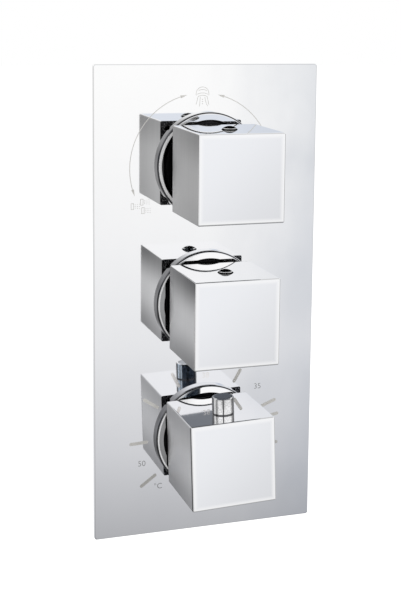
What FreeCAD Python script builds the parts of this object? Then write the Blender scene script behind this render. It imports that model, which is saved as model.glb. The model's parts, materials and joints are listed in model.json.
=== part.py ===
import FreeCAD, Part
import math
import os

import Sketcher

# Concealed thermostatic shower valve with three square handles, in millimetres.
# Row frame: X to the right, Y into the wall, Z up. The origin is the middle of the cover plate on the
# finished wall plane. Every sub-part is drawn in a frame of its own that stands on one cartridge axis:
# its X looks right, its Y looks up and its Z looks out of the wall ("out" below, negative in the wall).

SIZES = [
    # cover plate
    ("plate_width", 136, "cover plate, left to right"),
    ("plate_height", 282, "cover plate, bottom to top"),
    ("plate_thick", 3, "cover plate, back to front"),
    ("plate_corner", 1.5, "radius of the plate's four corners"),
    ("plate_edge", 0.6, "radius of the plate's polished front edge"),
    ("plate_rim", 5, "width of the rim around the seal's recess"),
    ("seal_thick", 1.2, "foam wall seal, and the depth of its recess"),
    ("seal_gap", 0.3, "play around the foam seal"),
    ("station_pitch", 82, "distance from one handle axis to the next"),
    # escutcheon collars, screwed on the body's bosses, clamping the plate
    ("collar_radius", 31.5, "outer radius of a collar's flange"),
    ("collar_thick", 4, "thickness of a collar's flange"),
    ("collar_round", 1.3, "rounding of the flange's rim"),
    ("collar_rim", 4.5, "width of the raised rim"),
    ("collar_dish", 1.3, "depth of the dished face inside the rim"),
    ("collar_mouth", 17.5, "radius of the opening around the neck"),
    ("collar_skirt", 16, "length of the threaded skirt behind the wall plane"),
    ("skirt_wall", 2.4, "wall of the threaded skirt"),
    ("plate_gap", 0.5, "play between a skirt and the plate's hole"),
    ("thread_gap", 0.1, "play between two plain thread surfaces"),
    ("ring_wire", 0.9, "radius of the sealing rings' section"),
    ("ring_inset", 2.6, "from a flange's rim to the middle of its sealing ring"),
    # cast body: bosses, chambers and waterways
    ("boss_radius", 20, "outer radius of a cartridge boss"),
    ("boss_setback", 2, "boss faces behind the wall plane"),
    ("chamber_radius", 15, "cartridge chamber"),
    ("nut_radius", 16, "thread bore in front of the chamber"),
    ("seat_depth", 17, "step that the cartridge flanges sit on"),
    ("ceramic_floor", 48, "floor of the two ceramic chambers"),
    ("thermo_floor", 64, "floor of the thermostatic chamber"),
    ("floor_wall", 4, "metal behind a chamber's floor"),
    ("column_radius", 13, "outer radius of the mixed water column"),
    ("column_depth", 58, "column axis behind the wall plane"),
    ("riser_bore", 5, "bore radius of the column"),
    ("duct_radius", 9, "outer radius of the upper duct"),
    ("duct_depth", 37, "upper duct axis behind the wall plane"),
    ("duct_bore", 4.5, "bore radius of the upper duct"),
    ("leg_offset", 28, "inlet legs left and right of the axis"),
    ("leg_radius", 13.5, "outer radius of an inlet leg"),
    ("leg_drop", 22, "inlet faces below the thermostatic axis"),
    ("leg_depth", 41, "inlet leg axis behind the wall plane"),
    ("arm_radius", 12, "outer radius of the arm to an inlet leg"),
    ("port_radius", 9.3, "wall radius of a half-inch port"),
    ("port_depth", 15, "depth of a half-inch port"),
    ("feed_bore", 4, "bore radius of the hot and cold feeds"),
    ("hot_depth", 34, "hot feed behind the wall plane"),
    ("cold_depth", 46.5, "cold feed behind the wall plane"),
    ("outlet_radius", 13, "outer radius of an outlet arm"),
    ("outlet_reach", 44, "outlet faces from the diverter axis"),
    ("outlet_bore", 4.5, "bore radius of an outlet"),
    ("flow_inlet", 9, "radius of the way from the column into the flow chamber"),
    ("drop_bore", 7, "bore radius of an inlet leg above its port"),
    ("lug_span", 38, "fixing holes left and right of the axis"),
    ("lug_radius", 8, "rounding of a fixing lug's end"),
    ("lug_thick", 7, "thickness of a fixing lug"),
    ("lug_hole", 3.2, "radius of a fixing hole"),
    # cartridges: parts that all three share
    ("cartridge_gap", 0.1, "play around a cartridge in its chamber"),
    ("flange_thick", 3, "cartridge flange"),
    ("neck_radius", 9.5, "neck of a ceramic cartridge"),
    ("neck_reach", 2, "ceramic neck in front of the wall plane"),
    ("stem_radius", 6, "spindle stem"),
    ("stem_gap", 0.05, "running fit of the spindles"),
    ("spline_radius", 4.5, "splined end of a spindle"),
    ("spline_cut", 0.5, "depth of a spline's groove"),
    ("spline_count", 16, "number of splines"),
    ("nut_head", 5, "hexagon of a retaining nut"),
    ("nut_flats", 26, "retaining nut across flats"),
    # ceramic cartridges
    ("disc_radius", 11, "ceramic discs"),
    ("disc_thick", 4, "one ceramic disc"),
    ("disc_gap", 0.3, "play around the ceramic discs"),
    ("base_seal", 2, "rubber seal under the fixed disc"),
    ("base_radius", 14, "radius of the rubber seal"),
    ("foot_thick", 4, "spindle's drive foot"),
    ("foot_radius", 10.5, "radius of the drive foot"),
    ("dog_width", 3.4, "drive dog between foot and disc"),
    ("dog_depth", 1.4, "depth of the drive dog"),
    ("flow_port", 3.4, "radius of a port in the flow discs"),
    ("flow_port_at", 6, "flow ports from the axis"),
    ("way_port", 3.1, "radius of a port in the diverter discs"),
    ("way_port_at", 6.9, "diverter ports from the axis"),
    ("way_angle", 115, "from one outlet position to the next, degrees"),
    ("window_arc", 62, "one side window, degrees"),
    ("window_tall", 4, "side windows along the axis"),
    # thermostatic cartridge
    ("sleeve_bore", 11.5, "bore of the thermostatic housing"),
    ("thermo_neck", 8, "neck that carries the stop ring"),
    ("thermo_reach", 14, "that neck in front of the wall plane"),
    ("port_band", 7, "water ring turned around the housing, along the axis"),
    ("band_cut", 1.3, "depth of the water ring"),
    ("slot_tall", 5, "hot and cold windows along the axis"),
    ("thread_stem", 4, "threaded end of the thermostatic spindle"),
    ("drive_wall", 3.5, "threaded floor of the drive nut"),
    ("drive_length", 11.5, "drive nut along the axis"),
    ("drive_radius", 10.8, "drive nut"),
    ("drive_cup", 8, "spring cup inside the drive nut"),
    ("drive_front", 19.5, "front of the drive nut behind the wall plane"),
    ("key_width", 3, "keys that stop the drive nut from turning"),
    ("pusher_radius", 7.7, "overload pusher"),
    ("pusher_thick", 2, "overload pusher"),
    ("pusher_skin", 0.6, "metal in front of the pusher's blind hole"),
    ("pusher_inset", 1.5, "pusher inside the drive nut's rear end"),
    ("shuttle_front", 34.5, "front edge of the shuttle behind the wall plane"),
    ("shuttle_length", 11, "shuttle along the axis"),
    ("shuttle_wall", 1.2, "wall of the shuttle"),
    ("web_front", 39, "front of the shuttle's web"),
    ("web_thick", 2, "shuttle's web"),
    ("element_radius", 5, "wax capsule"),
    ("element_length", 19, "wax capsule behind its flange"),
    ("guide_radius", 3.4, "guide of the wax capsule's piston"),
    ("guide_length", 8, "that guide in front of the web"),
    ("pin_radius", 1.6, "piston of the wax capsule"),
    ("pin_sunk", 3, "piston's tail behind the web's front"),
    ("pin_play", 1.5, "room behind the piston's tail"),
    ("end_ring_front", 52, "rear retaining ring behind the wall plane"),
    ("end_ring_thick", 1.5, "rear retaining ring"),
    ("slide_gap", 0.08, "running fit of the shuttle and the drive nut"),
    # stop ring of the thermostatic axis
    ("stop_back", 9.5, "stop ring in front of the wall plane"),
    ("stop_thick", 4, "stop ring along the axis"),
    ("stop_hub", 10, "hub of the stop ring"),
    ("stop_radius", 18, "reach of the stop sector"),
    ("hot_limit", 110, "turn from 38 degrees to the hot end, degrees"),
    ("cold_limit", 118, "turn from 38 degrees to the cold end, degrees"),
    # handles
    ("cube_side", 50, "square handle, across"),
    ("cube_deep", 50, "square handle, back to front"),
    ("cube_wall", 3, "wall of a handle"),
    ("cube_round", 0.9, "rounding of a handle's edges"),
    ("divert_standoff", 13.4, "plate to the back of the diverter handle"),
    ("flow_standoff", 9, "plate to the back of the flow handle"),
    ("thermo_standoff", 5.8, "plate to the back of the temperature handle"),
    ("thermo_turn", 2, "temperature handle's set of the photographed valve, degrees"),
    ("hub_radius", 10, "hub inside a handle"),
    ("hub_back", 11, "hub's rear face from the handle's back"),
    ("insert_radius", 6.5, "splined insert"),
    ("insert_length", 22, "splined insert inside the hub"),
    ("insert_flange", 1.5, "flange of the splined insert"),
    ("spline_length", 19, "spline inside the insert"),
    ("rib_wall", 2, "stiffening ribs inside a handle"),
    ("rib_back", 38.5, "ribs from the handle's back"),
    ("screw_at", 27, "grub screw from the handle's back"),
    ("screw_radius", 2.5, "grub screw"),
    ("screw_length", 4.8, "grub screw"),
    ("screw_key", 2.5, "hexagon socket across flats"),
    ("cap_radius", 4.6, "domed cap over the grub screw"),
    ("cap_height", 2, "height of the dome"),
    ("cap_plug", 3.2, "radius of the cap's plug"),
    # safety button of the temperature handle
    ("button_at", 31.5, "button axis from the handle's back"),
    ("button_radius", 6.3, "safety button"),
    ("button_rise", 9.8, "button above the handle"),
    ("button_bevel", 0.5, "bevel around the button's top"),
    ("button_gap", 0.06, "running fit of the button"),
    ("button_sink", 3.5, "button's skirt below the top of the handle"),
    ("button_core", 5.2, "spring pocket inside the button"),
    ("button_roof", 6, "metal above the spring pocket"),
    ("button_stroke", 3, "travel of the button"),
    ("button_stem", 3, "stem below the button"),
    ("turret_radius", 8.6, "guide turret under the handle's top"),
    ("turret_floor", 1.5, "floor of the turret"),
    ("turret_base", 16.8, "underside of the turret from the axis"),
    ("latch_thick", 3, "latch arm"),
    ("latch_width", 6, "latch arm"),
    ("latch_gap", 0.3, "play between the latch and its stops"),
    ("latch_toe", 1.2, "rear end of the latch from the handle's back"),
    ("latch_foot", 4, "length of the latch's foot"),
    # inlet unions and check valves
    ("washer_thick", 1.5, "fibre washer"),
    ("union_thread", 11, "union inside the port"),
    ("union_head", 8, "hexagon of the union"),
    ("union_flats", 25, "union across flats"),
    ("tail_radius", 9.9, "tail for the pipe nut"),
    ("tail_length", 10.5, "tail below the hexagon"),
    ("pipe_radius", 7.55, "socket for a 15 mm pipe"),
    ("socket_length", 13, "socket for the pipe"),
    ("cage_radius", 7.2, "pocket for the check valve"),
    ("cage_length", 13, "check valve cage"),
    ("cage_wall", 1.2, "wall of the cage"),
    ("cage_floor", 2, "seat of the cage"),
    ("poppet_radius", 5.2, "check valve poppet"),
    ("poppet_thick", 1.5, "poppet's disc"),
    ("poppet_stem", 1.4, "poppet's stem"),
    ("poppet_stroke", 2.5, "travel of the poppet"),
    ("spider_thick", 2, "spider that guides the poppet"),
    ("pipe_nut_flats", 24, "pipe nut across flats"),
    ("pipe_nut_length", 14, "pipe nut"),
    ("olive_length", 4, "olive"),
    ("strainer_radius", 9, "strainer"),
    ("strainer_dome", 6.2, "dome of the strainer"),
    ("strainer_sheet", 0.6, "sheet of the strainer"),
    ("strainer_height", 3.4, "height of the strainer"),
]

NODES = []
doc = FreeCAD.newDocument("ShowerValve")


# ---------------------------------------------------------------- sizes that know their own formula
class Size:
    """A number together with the sheet formula that it comes from."""

    def __init__(self, number, formula):
        self.number = float(number)
        self.formula = formula

    @staticmethod
    def of(thing):
        return thing if isinstance(thing, Size) else Size(thing, repr(float(thing)))

    def joined(self, sign, other, number):
        return Size(number, "(%s %s %s)" % (self.formula, sign, other.formula))

    def __add__(self, other):
        other = Size.of(other)
        return self.joined("+", other, self.number + other.number)

    def __sub__(self, other):
        other = Size.of(other)
        return self.joined("-", other, self.number - other.number)

    def __mul__(self, other):
        other = Size.of(other)
        return self.joined("*", other, self.number * other.number)

    def __truediv__(self, other):
        other = Size.of(other)
        return self.joined("/", other, self.number / other.number)

    def __radd__(self, other):
        return Size.of(other) + self

    def __rsub__(self, other):
        return Size.of(other) - self

    def __rmul__(self, other):
        return Size.of(other) * self

    def __neg__(self):
        return Size(-self.number, "(0 - %s)" % self.formula)


class Sheet:
    """The driving dimensions: one spreadsheet row each, read back as Size values."""

    def __init__(self, rows):
        self.cells = doc.addObject("Spreadsheet::Sheet", "Sizes")
        for row, (alias, number, meaning) in enumerate(rows, start=1):
            self.cells.set("A%d" % row, alias)
            self.cells.set("B%d" % row, str(number))
            self.cells.set("C%d" % row, meaning)
            self.cells.setAlias("B%d" % row, alias)
        doc.recompute()

    def __getattr__(self, alias):
        return Size(self.cells.get(alias), "Sizes." + alias)


S = Sheet(SIZES)


def bind(thing, prop, size):
    """Tie a property to the sheet, or set it where it is a plain number."""
    size = Size.of(size)
    if "Sizes." in size.formula:
        thing.setExpression(prop, size.formula)
    elif prop.startswith("Placement"):
        thing.setExpression(prop, size.formula)
    else:
        setattr(thing, prop, size.number)


# ------------------------------------------------------------------------------- sketching helpers
def new_body(node):
    body = doc.addObject("PartDesign::Body", node)
    body.Label = node
    NODES.append(body)
    return body


def sketch_on(body, plane, name, lift=None):
    """An empty sketch on one of the body's own origin planes, lifted along the plane's normal."""
    sketch = body.newObject("Sketcher::SketchObject", body.Name + "_" + name)
    support = next(f for f in body.Origin.OriginFeatures if f.Role == plane)
    sketch.AttachmentSupport = [(support, "")]
    sketch.MapMode = "FlatFace"
    if lift is not None:
        sketch.setExpression("AttachmentOffset.Base.z", Size.of(lift).formula)
    return sketch


def hold(sketch, geometry, point, across, along):
    """Pin one point of the geometry to its two coordinates."""
    for kind, size, axis in (("DistanceX", across, -2), ("DistanceY", along, -1)):
        size = Size.of(size)
        if size.number == 0 and "Sizes." not in size.formula:
            sketch.addConstraint(Sketcher.Constraint("PointOnObject", geometry, point, axis))
            continue
        index = sketch.addConstraint(Sketcher.Constraint(kind, -1, 1, geometry, point, size.number))
        sketch.setExpression("Constraints[%d]" % index, size.formula)


def outline(sketch, corners):
    """A closed outline through corners given as pairs of sizes.

    A third item makes the edge that starts there an arc of that radius, bulging to the right.
    """
    first = sketch.GeometryCount
    count = len(corners)
    dots = [FreeCAD.Vector(Size.of(c[0]).number, Size.of(c[1]).number, 0) for c in corners]
    for index, corner in enumerate(corners):
        start, end = dots[index], dots[(index + 1) % count]
        if len(corner) == 3:
            sketch.addGeometry(arc_between(start, end, corner[2].number))
        else:
            sketch.addGeometry(Part.LineSegment(start, end))
    for index in range(count):
        following = first + (index + 1) % count
        sketch.addConstraint(Sketcher.Constraint("Coincident", first + index, 2, following, 1))
    for index, corner in enumerate(corners):
        hold(sketch, first + index, 1, corner[0], corner[1])
        if len(corner) == 3:
            item = sketch.addConstraint(Sketcher.Constraint("Radius", first + index, corner[2].number))
            sketch.setExpression("Constraints[%d]" % item, corner[2].formula)
    return sketch


def arc_between(start, end, radius):
    """The short arc from start to end, anticlockwise, so that it bulges to the right of the way."""
    chord = end - start
    reach = math.sqrt(radius ** 2 - (chord.Length / 2) ** 2)
    middle = (start + end) / 2 + FreeCAD.Vector(-chord.y, chord.x, 0) * (reach / chord.Length)
    angles = [math.atan2(dot.y - middle.y, dot.x - middle.x) for dot in (start, end)]
    whole = Part.Circle(middle, FreeCAD.Vector(0, 0, 1), radius)
    return Part.ArcOfCircle(whole, angles[0], angles[1])


def circle(sketch, radius, across=0, along=0):
    """A circle of a bound radius about a bound centre."""
    radius = Size.of(radius)
    middle = FreeCAD.Vector(Size.of(across).number, Size.of(along).number, 0)
    item = sketch.addGeometry(Part.Circle(middle, FreeCAD.Vector(0, 0, 1), radius.number))
    index = sketch.addConstraint(Sketcher.Constraint("Radius", item, radius.number))
    sketch.setExpression("Constraints[%d]" % index, radius.formula)
    hold(sketch, item, 3, across, along)
    return sketch


def rectangle(sketch, low_u, low_v, high_u, high_v):
    return outline(sketch, [(low_u, low_v), (high_u, low_v), (high_u, high_v), (low_u, high_v)])


def square(sketch, side):
    return rectangle(sketch, -side / 2, -side / 2, side / 2, side / 2)


def hexagon(sketch, flats):
    """A hexagon given across its flats, with two flats to the left and right."""
    reach = flats / 2 * (1 / math.cos(math.pi / 6))
    turns = [math.pi * (2 * corner + 1) / 6 for corner in range(6)]
    return outline(sketch, [(reach * math.cos(turn), reach * math.sin(turn)) for turn in turns])


# ------------------------------------------------------------------------------- feature helpers
def feature(body, kind, sketch, name):
    made = body.newObject("PartDesign::" + kind, body.Name + "_" + name)
    made.Profile = sketch
    return made


def revolve(body, corners, name="turned", plane="XZ_Plane", kind="Revolution", angle=360):
    """Turn an outline of (radius, height) corners about the sketch's upright axis."""
    sketch = outline(sketch_on(body, plane, name + "_profile"), corners)
    made = feature(body, kind, sketch, name)
    made.ReferenceAxis = (sketch, ["V_Axis"])
    bind(made, "Angle", angle)
    made.Midplane = Size.of(angle).number < 360
    return made


def pad(body, sketch, length, name="pad"):
    made = feature(body, "Pad", sketch, name)
    bind(made, "Length", length)
    return made


def pocket(body, sketch, length, name="pocket"):
    """Cut along the sketch's normal, away from the side that a pocket takes by itself."""
    made = feature(body, "Pocket", sketch, name)
    made.Reversed = True
    bind(made, "Length", length)
    return made


AIM = {
    "x": FreeCAD.Rotation(FreeCAD.Vector(0, 1, 0), 90),
    "y": FreeCAD.Rotation(FreeCAD.Vector(1, 0, 0), -90),
    "z": FreeCAD.Rotation(),
}


def rod(body, radius, axis, foot, length, name, cut=False):
    """A cylinder added to or cut from the body, from its foot along one of the body's axes."""
    kind = "SubtractiveCylinder" if cut else "AdditiveCylinder"
    made = body.newObject("PartDesign::" + kind, body.Name + "_" + name)
    bind(made, "Radius", radius)
    bind(made, "Height", length)
    made.Placement = FreeCAD.Placement(FreeCAD.Vector(), AIM[axis])
    for letter, size in zip("xyz", foot):
        bind(made, "Placement.Base." + letter, size)
    return made


def around(body, original, count, name="pattern", plane_axis="Z_Axis"):
    """Repeat one feature evenly about the body's own axis."""
    axis = next(f for f in body.Origin.OriginFeatures if f.Role == plane_axis)
    made = body.newObject("PartDesign::PolarPattern", body.Name + "_" + name)
    made.Originals = [original]
    made.Axis = (axis, [""])
    made.Angle = 360
    made.Occurrences = count if isinstance(count, int) else int(count.number)
    if isinstance(count, Size):
        bind(made, "Occurrences", count)
    body.Tip = made
    return made


def soften(body, base, test, radius, name="round", kind="Fillet"):
    """Round or bevel every edge of the base feature that the test picks."""
    doc.recompute()
    names = ["Edge%d" % (i + 1) for i, edge in enumerate(base.Shape.Edges) if test(edge)]
    if not names:
        raise RuntimeError("no edge to soften on " + body.Name)
    made = body.newObject("PartDesign::" + kind, body.Name + "_" + name)
    made.Base = (base, names)
    bind(made, "Radius" if kind == "Fillet" else "Size", radius)
    body.Tip = made
    return made


def near(number, size):
    return abs(number - Size.of(size).number) < 1e-4


def ring_edge(radius, height, axis="z"):
    """Test for the circle of this radius at this height on the body's axis."""

    def test(edge):
        curve = edge.Curve
        return isinstance(curve, Part.Circle) and near(curve.Radius, radius) and near(
            getattr(curve.Center, axis), height
        )

    return test


FACING = FreeCAD.Rotation(FreeCAD.Vector(1, 0, 0), 90)


def seat(thing, right=0, out=0, up=0, turn=0):
    """Stand a sub-part on its cartridge axis, its own Z out of the wall, turned about that Z."""
    spin = FreeCAD.Rotation(FreeCAD.Vector(0, 0, 1), Size.of(turn).number)
    thing.Placement = FreeCAD.Placement(FreeCAD.Vector(), FACING.multiply(spin))
    for letter, size in (("x", right), ("y", -Size.of(out)), ("z", up)):
        bind(thing, "Placement.Base." + letter, size)


def group(node, members):
    """Several equal solids kept as one sub-part."""
    made = doc.addObject("Part::Compound", node)
    made.Label = node
    made.Links = members
    NODES.append(made)
    return made


def seal_ring(name, radius, out, up):
    """One rubber ring with an eight-sided section about an axis that looks out of the wall."""
    body = doc.addObject("PartDesign::Body", name)
    wire, flat = S.ring_wire, S.ring_wire * math.tan(math.pi / 8)
    corners = [(wire, -flat), (wire, flat), (flat, wire), (-flat, wire),
               (-wire, flat), (-wire, -flat), (-flat, -wire), (flat, -wire)]
    revolve(body, [(radius + across, out + along) for across, along in corners])
    seat(body, up=up)
    return body


def coil(node, radius, wire, low, high, turns, runs=10, upright=False):
    """A compression spring along its own Z, or its own Y: mitred straight runs of wire in a helix."""
    number = [Size.of(size).number for size in (radius, wire, low, high)]
    mean, thick, start, finish = number
    rise = finish - start - 2 * thick
    steps = int(turns * runs)
    dots = []
    for step in range(steps + 1):
        turn = 2 * math.pi * step / runs
        height = start + thick + rise * step / steps
        dots.append(FreeCAD.Vector(mean * math.cos(turn), mean * math.sin(turn), height))
    if upright:
        dots = [FreeCAD.Vector(dot.x, dot.z, -dot.y) for dot in dots]
    path = Part.makePolygon(dots)
    ahead = (dots[1] - dots[0]).normalize()
    side = ahead.cross(FreeCAD.Vector(0, 1, 0) if upright else FreeCAD.Vector(0, 0, 1)).normalize()
    top = side.cross(ahead)
    rim = []
    for corner in range(9):
        turn = math.pi * (2 * corner + 1) / 8
        rim.append(dots[0] + side * (thick * math.cos(turn)) + top * (thick * math.sin(turn)))
    section = Part.makePolygon(rim)
    spring = doc.addObject("Part::Feature", node)
    spring.Label = node
    spring.Shape = path.makePipeShell([section], True, False, 1)
    NODES.append(spring)
    return spring


# --------------------------------------------------------------------------- places worked out once
STATIONS = {"divert": S.station_pitch, "flow": Size.of(0), "thermo": -S.station_pitch}
STANDOFF = {"divert": S.divert_standoff, "flow": S.flow_standoff, "thermo": S.thermo_standoff}
HANDLE_BACK = {name: S.plate_thick + gap for name, gap in STANDOFF.items()}
SKIRT_RADIUS = S.boss_radius + S.thread_gap + S.skirt_wall
HOLE_RADIUS = SKIRT_RADIUS + S.plate_gap
COLLAR_FRONT = S.plate_thick + S.collar_thick
SEAL_RING_RADIUS = S.collar_radius - S.ring_inset
CARTRIDGE_FRONT = -(S.seat_depth - S.flange_thick)
BARREL_RADIUS = S.chamber_radius - S.cartridge_gap
FLANGE_RADIUS = S.nut_radius - S.cartridge_gap
STEM_BORE = S.stem_radius + S.stem_gap
CERAMIC_REAR = -(S.ceramic_floor - S.base_seal)
DISC_SPLIT = CERAMIC_REAR + S.disc_thick
FOOT_REAR = DISC_SPLIT + S.disc_thick
FOOT_FRONT = FOOT_REAR + S.foot_thick
PUSHER_FRONT = -(S.drive_front + S.drive_length) + S.pusher_inset + S.pusher_thick
HUB_STEM_END = S.hub_back - S.insert_flange
SPLINE_END = HUB_STEM_END + S.insert_flange + S.spline_length
PORT_ANGLES = {"top": 90, "left": 90 + S.way_angle, "right": 90 - S.way_angle}


def polar(radius, angle):
    """A point at this radius and angle, as two sizes; the angle is in degrees."""
    angle = Size.of(angle)
    cosine = Size(math.cos(math.radians(angle.number)), "cos(%s * 1deg)" % angle.formula)
    sine = Size(math.sin(math.radians(angle.number)), "sin(%s * 1deg)" % angle.formula)
    return radius * cosine, radius * sine


# ---------------------------------------------------------------------------------- plate and seal
def face_plate():
    body = new_body("face_plate")
    sheet = rectangle(sketch_on(body, "XY_Plane", "outline"), -S.plate_width / 2, -S.plate_height / 2,
                      S.plate_width / 2, S.plate_height / 2)
    slab = pad(body, sheet, S.plate_thick)

    def corner(edge):
        ends = [vertex.Point for vertex in edge.Vertexes]
        return abs(ends[0].z - ends[1].z) > 1e-6

    rounded = soften(body, slab, corner, S.plate_corner, "corners")
    softened = soften(body, rounded, lambda edge: near(edge.BoundBox.ZMin, S.plate_thick),
                      S.plate_edge, "front_edge")
    body.Tip = softened
    inside = rectangle(sketch_on(body, "XY_Plane", "recess"), S.plate_rim - S.plate_width / 2,
                       S.plate_rim - S.plate_height / 2, S.plate_width / 2 - S.plate_rim,
                       S.plate_height / 2 - S.plate_rim)
    pocket(body, inside, S.seal_thick, "seal_recess")
    for name, height in STATIONS.items():
        hole = circle(sketch_on(body, "XY_Plane", name + "_hole"), HOLE_RADIUS, 0, height)
        pocket(body, hole, S.plate_thick, name + "_opening")
    seat(body)


def plate_seal():
    body = new_body("plate_seal")
    inset = S.plate_rim + S.seal_gap
    sheet = rectangle(sketch_on(body, "XY_Plane", "outline"), inset - S.plate_width / 2,
                      inset - S.plate_height / 2, S.plate_width / 2 - inset, S.plate_height / 2 - inset)
    for height in STATIONS.values():
        circle(sheet, HOLE_RADIUS + S.seal_gap, 0, height)
    pad(body, sheet, S.seal_thick)
    seat(body)


# ------------------------------------------------------------------------------ escutcheon collars
def collar(name, height):
    body = new_body(name + "_collar")
    thread = S.boss_radius + S.thread_gap
    groove_in = SEAL_RING_RADIUS - S.ring_wire
    groove_out = SEAL_RING_RADIUS + S.ring_wire
    groove_floor = S.plate_thick + 2 * S.ring_wire
    dish = COLLAR_FRONT - S.collar_dish
    rim = S.collar_radius - S.collar_rim
    turned = revolve(body, [
        (thread, -S.collar_skirt), (SKIRT_RADIUS, -S.collar_skirt), (SKIRT_RADIUS, S.plate_thick),
        (groove_in, S.plate_thick), (groove_in, groove_floor), (groove_out, groove_floor),
        (groove_out, S.plate_thick), (S.collar_radius, S.plate_thick), (S.collar_radius, COLLAR_FRONT),
        (rim, COLLAR_FRONT), (rim - S.collar_dish, dish), (S.collar_mouth, dish),
        (S.collar_mouth, S.plate_thick), (thread, S.plate_thick),
    ])
    soften(body, turned, ring_edge(S.collar_radius, COLLAR_FRONT), S.collar_round, "rim_round")
    seat(body, up=height)
    middle = S.plate_thick + S.ring_wire
    return seal_ring(name + "_collar_ring", SEAL_RING_RADIUS, middle, height)


# -------------------------------------------------------------------------------------- cast body
def valve_body():
    """The brass casting: three bosses, mixed water column, duct, inlet legs, outlets and lugs."""
    body = new_body("valve_body")
    floors = {"divert": S.ceramic_floor, "flow": S.ceramic_floor, "thermo": S.thermo_floor}
    for name, height in STATIONS.items():
        back = floors[name] + S.floor_wall
        rod(body, S.boss_radius, "z", (0, height, -back), back - S.boss_setback, name + "_boss")
    rod(body, S.column_radius, "y", (0, -S.station_pitch, -S.column_depth), 2 * S.station_pitch, "column")
    rod(body, S.duct_radius, "y", (0, 0, -S.duct_depth), S.station_pitch, "duct")
    for side, name in ((-1, "hot"), (1, "cold")):
        across = side * S.leg_offset
        start = across if side < 0 else 0
        rod(body, S.arm_radius, "x", (start, -S.station_pitch, -S.leg_depth), S.leg_offset, name + "_arm")
        rod(body, S.leg_radius, "y", (across, -S.station_pitch - S.leg_drop, -S.leg_depth),
            S.leg_drop + S.arm_radius, name + "_leg")
    rod(body, S.outlet_radius, "x", (-S.outlet_reach, S.station_pitch, -S.column_depth),
        2 * S.outlet_reach, "side_outlets")
    rod(body, S.outlet_radius, "y", (0, S.station_pitch, -S.column_depth), S.outlet_reach, "top_outlet")
    back = -(S.column_depth + S.column_radius)
    for side, name in ((-1, "lower"), (1, "upper")):
        middle = side * S.station_pitch / 2
        strap = sketch_on(body, "XY_Plane", name + "_lug_outline", back)
        rectangle(strap, -S.lug_span, middle - S.lug_radius, S.lug_span, middle + S.lug_radius)
        pad(body, strap, S.lug_thick, name + "_strap")
        for end, word in ((-1, "left"), (1, "right")):
            label = name + "_" + word
            rod(body, S.lug_radius, "z", (end * S.lug_span, middle, back), S.lug_thick, label + "_lug")
    bore_chambers(body, floors)
    bore_waterways(body)
    for side in (-1, 1):
        for end in (-1, 1):
            foot = (end * S.lug_span, side * S.station_pitch / 2, back)
            rod(body, S.lug_hole, "z", foot, S.lug_thick, "fixing_%d_%d" % (side + 1, end + 1), cut=True)
    seat(body)


def bore_chambers(body, floors):
    for name, height in STATIONS.items():
        floor = floors[name]
        rod(body, S.chamber_radius, "z", (0, height, -floor), floor, name + "_chamber", cut=True)
        rod(body, S.nut_radius, "z", (0, height, -S.seat_depth), S.seat_depth, name + "_thread", cut=True)


def bore_waterways(body):
    low = -S.station_pitch
    rod(body, S.riser_bore, "y", (0, low, -S.column_depth), S.station_pitch, "riser", cut=True)
    rod(body, S.flow_inlet, "z", (0, 0, -S.column_depth), S.column_depth - S.seat_depth, "flow_inlet", cut=True)
    rod(body, S.duct_bore, "y", (0, 0, -S.duct_depth), S.station_pitch, "duct_bore", cut=True)
    for side, name, depth in ((-1, "hot", S.hot_depth), (1, "cold", S.cold_depth)):
        across = side * S.leg_offset
        start = across if side < 0 else 0
        mouth = (across, low - S.leg_drop, -S.leg_depth)
        rod(body, S.feed_bore, "x", (start, low, -depth), S.leg_offset, name + "_feed", cut=True)
        rod(body, S.drop_bore, "y", mouth, S.leg_drop, name + "_drop", cut=True)
        rod(body, S.port_radius, "y", mouth, S.port_depth, name + "_port", cut=True)
    across, over = polar(S.way_port_at, 90)
    rod(body, S.way_port, "z", (0, S.station_pitch + over, -S.column_depth),
        S.column_depth - S.seat_depth, "top_way", cut=True)
    rod(body, S.outlet_bore, "y", (0, S.station_pitch + over, -S.column_depth),
        S.outlet_reach - over, "top_bore", cut=True)
    rod(body, S.port_radius, "y", (0, S.station_pitch + S.outlet_reach - S.port_depth, -S.column_depth),
        S.port_depth, "top_port", cut=True)
    for side, name in ((-1, "left"), (1, "right")):
        across, over = polar(S.way_port_at, PORT_ANGLES[name])
        rod(body, S.way_port, "z", (across, S.station_pitch + over, -S.column_depth),
            S.column_depth - S.seat_depth, name + "_way", cut=True)
        inner = S.way_port_at - S.way_port / 4
        start = -S.outlet_reach if side < 0 else inner
        rod(body, S.outlet_bore, "x", (start, S.station_pitch, -S.column_depth),
            S.outlet_reach - inner, name + "_bore", cut=True)
        start = -S.outlet_reach if side < 0 else S.outlet_reach - S.port_depth
        rod(body, S.port_radius, "x", (start, S.station_pitch, -S.column_depth), S.port_depth,
            name + "_port", cut=True)


# ------------------------------------------------------------------------ parts of every cartridge
def retaining_nut(name, neck):
    """Brass nut: a round threaded skirt that holds the cartridge's flange, with a hexagon in front."""
    body = new_body(name + "_nut")
    shoulder = CARTRIDGE_FRONT + S.seat_depth - S.flange_thick - S.nut_head
    revolve(body, [
        (neck + S.thread_gap, CARTRIDGE_FRONT), (S.nut_radius - S.thread_gap, CARTRIDGE_FRONT),
        (S.nut_radius - S.thread_gap, shoulder), (neck + S.thread_gap, shoulder),
    ])
    head = hexagon(sketch_on(body, "XY_Plane", "head_outline", shoulder), S.nut_flats)
    circle(head, neck + S.thread_gap)
    pad(body, head, S.nut_head, "head")
    seat(body, up=STATIONS[name])


def cut_splines(body, low, length):
    """Grooves along the spindle's front end, repeated around it."""
    groove = sketch_on(body, "XY_Plane", "spline_outline", low)
    half = S.spline_cut
    rectangle(groove, S.spline_radius - S.spline_cut, -half, S.spline_radius + 1, half)
    first = pocket(body, groove, length, "spline")
    around(body, first, S.spline_count, "splines")


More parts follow.
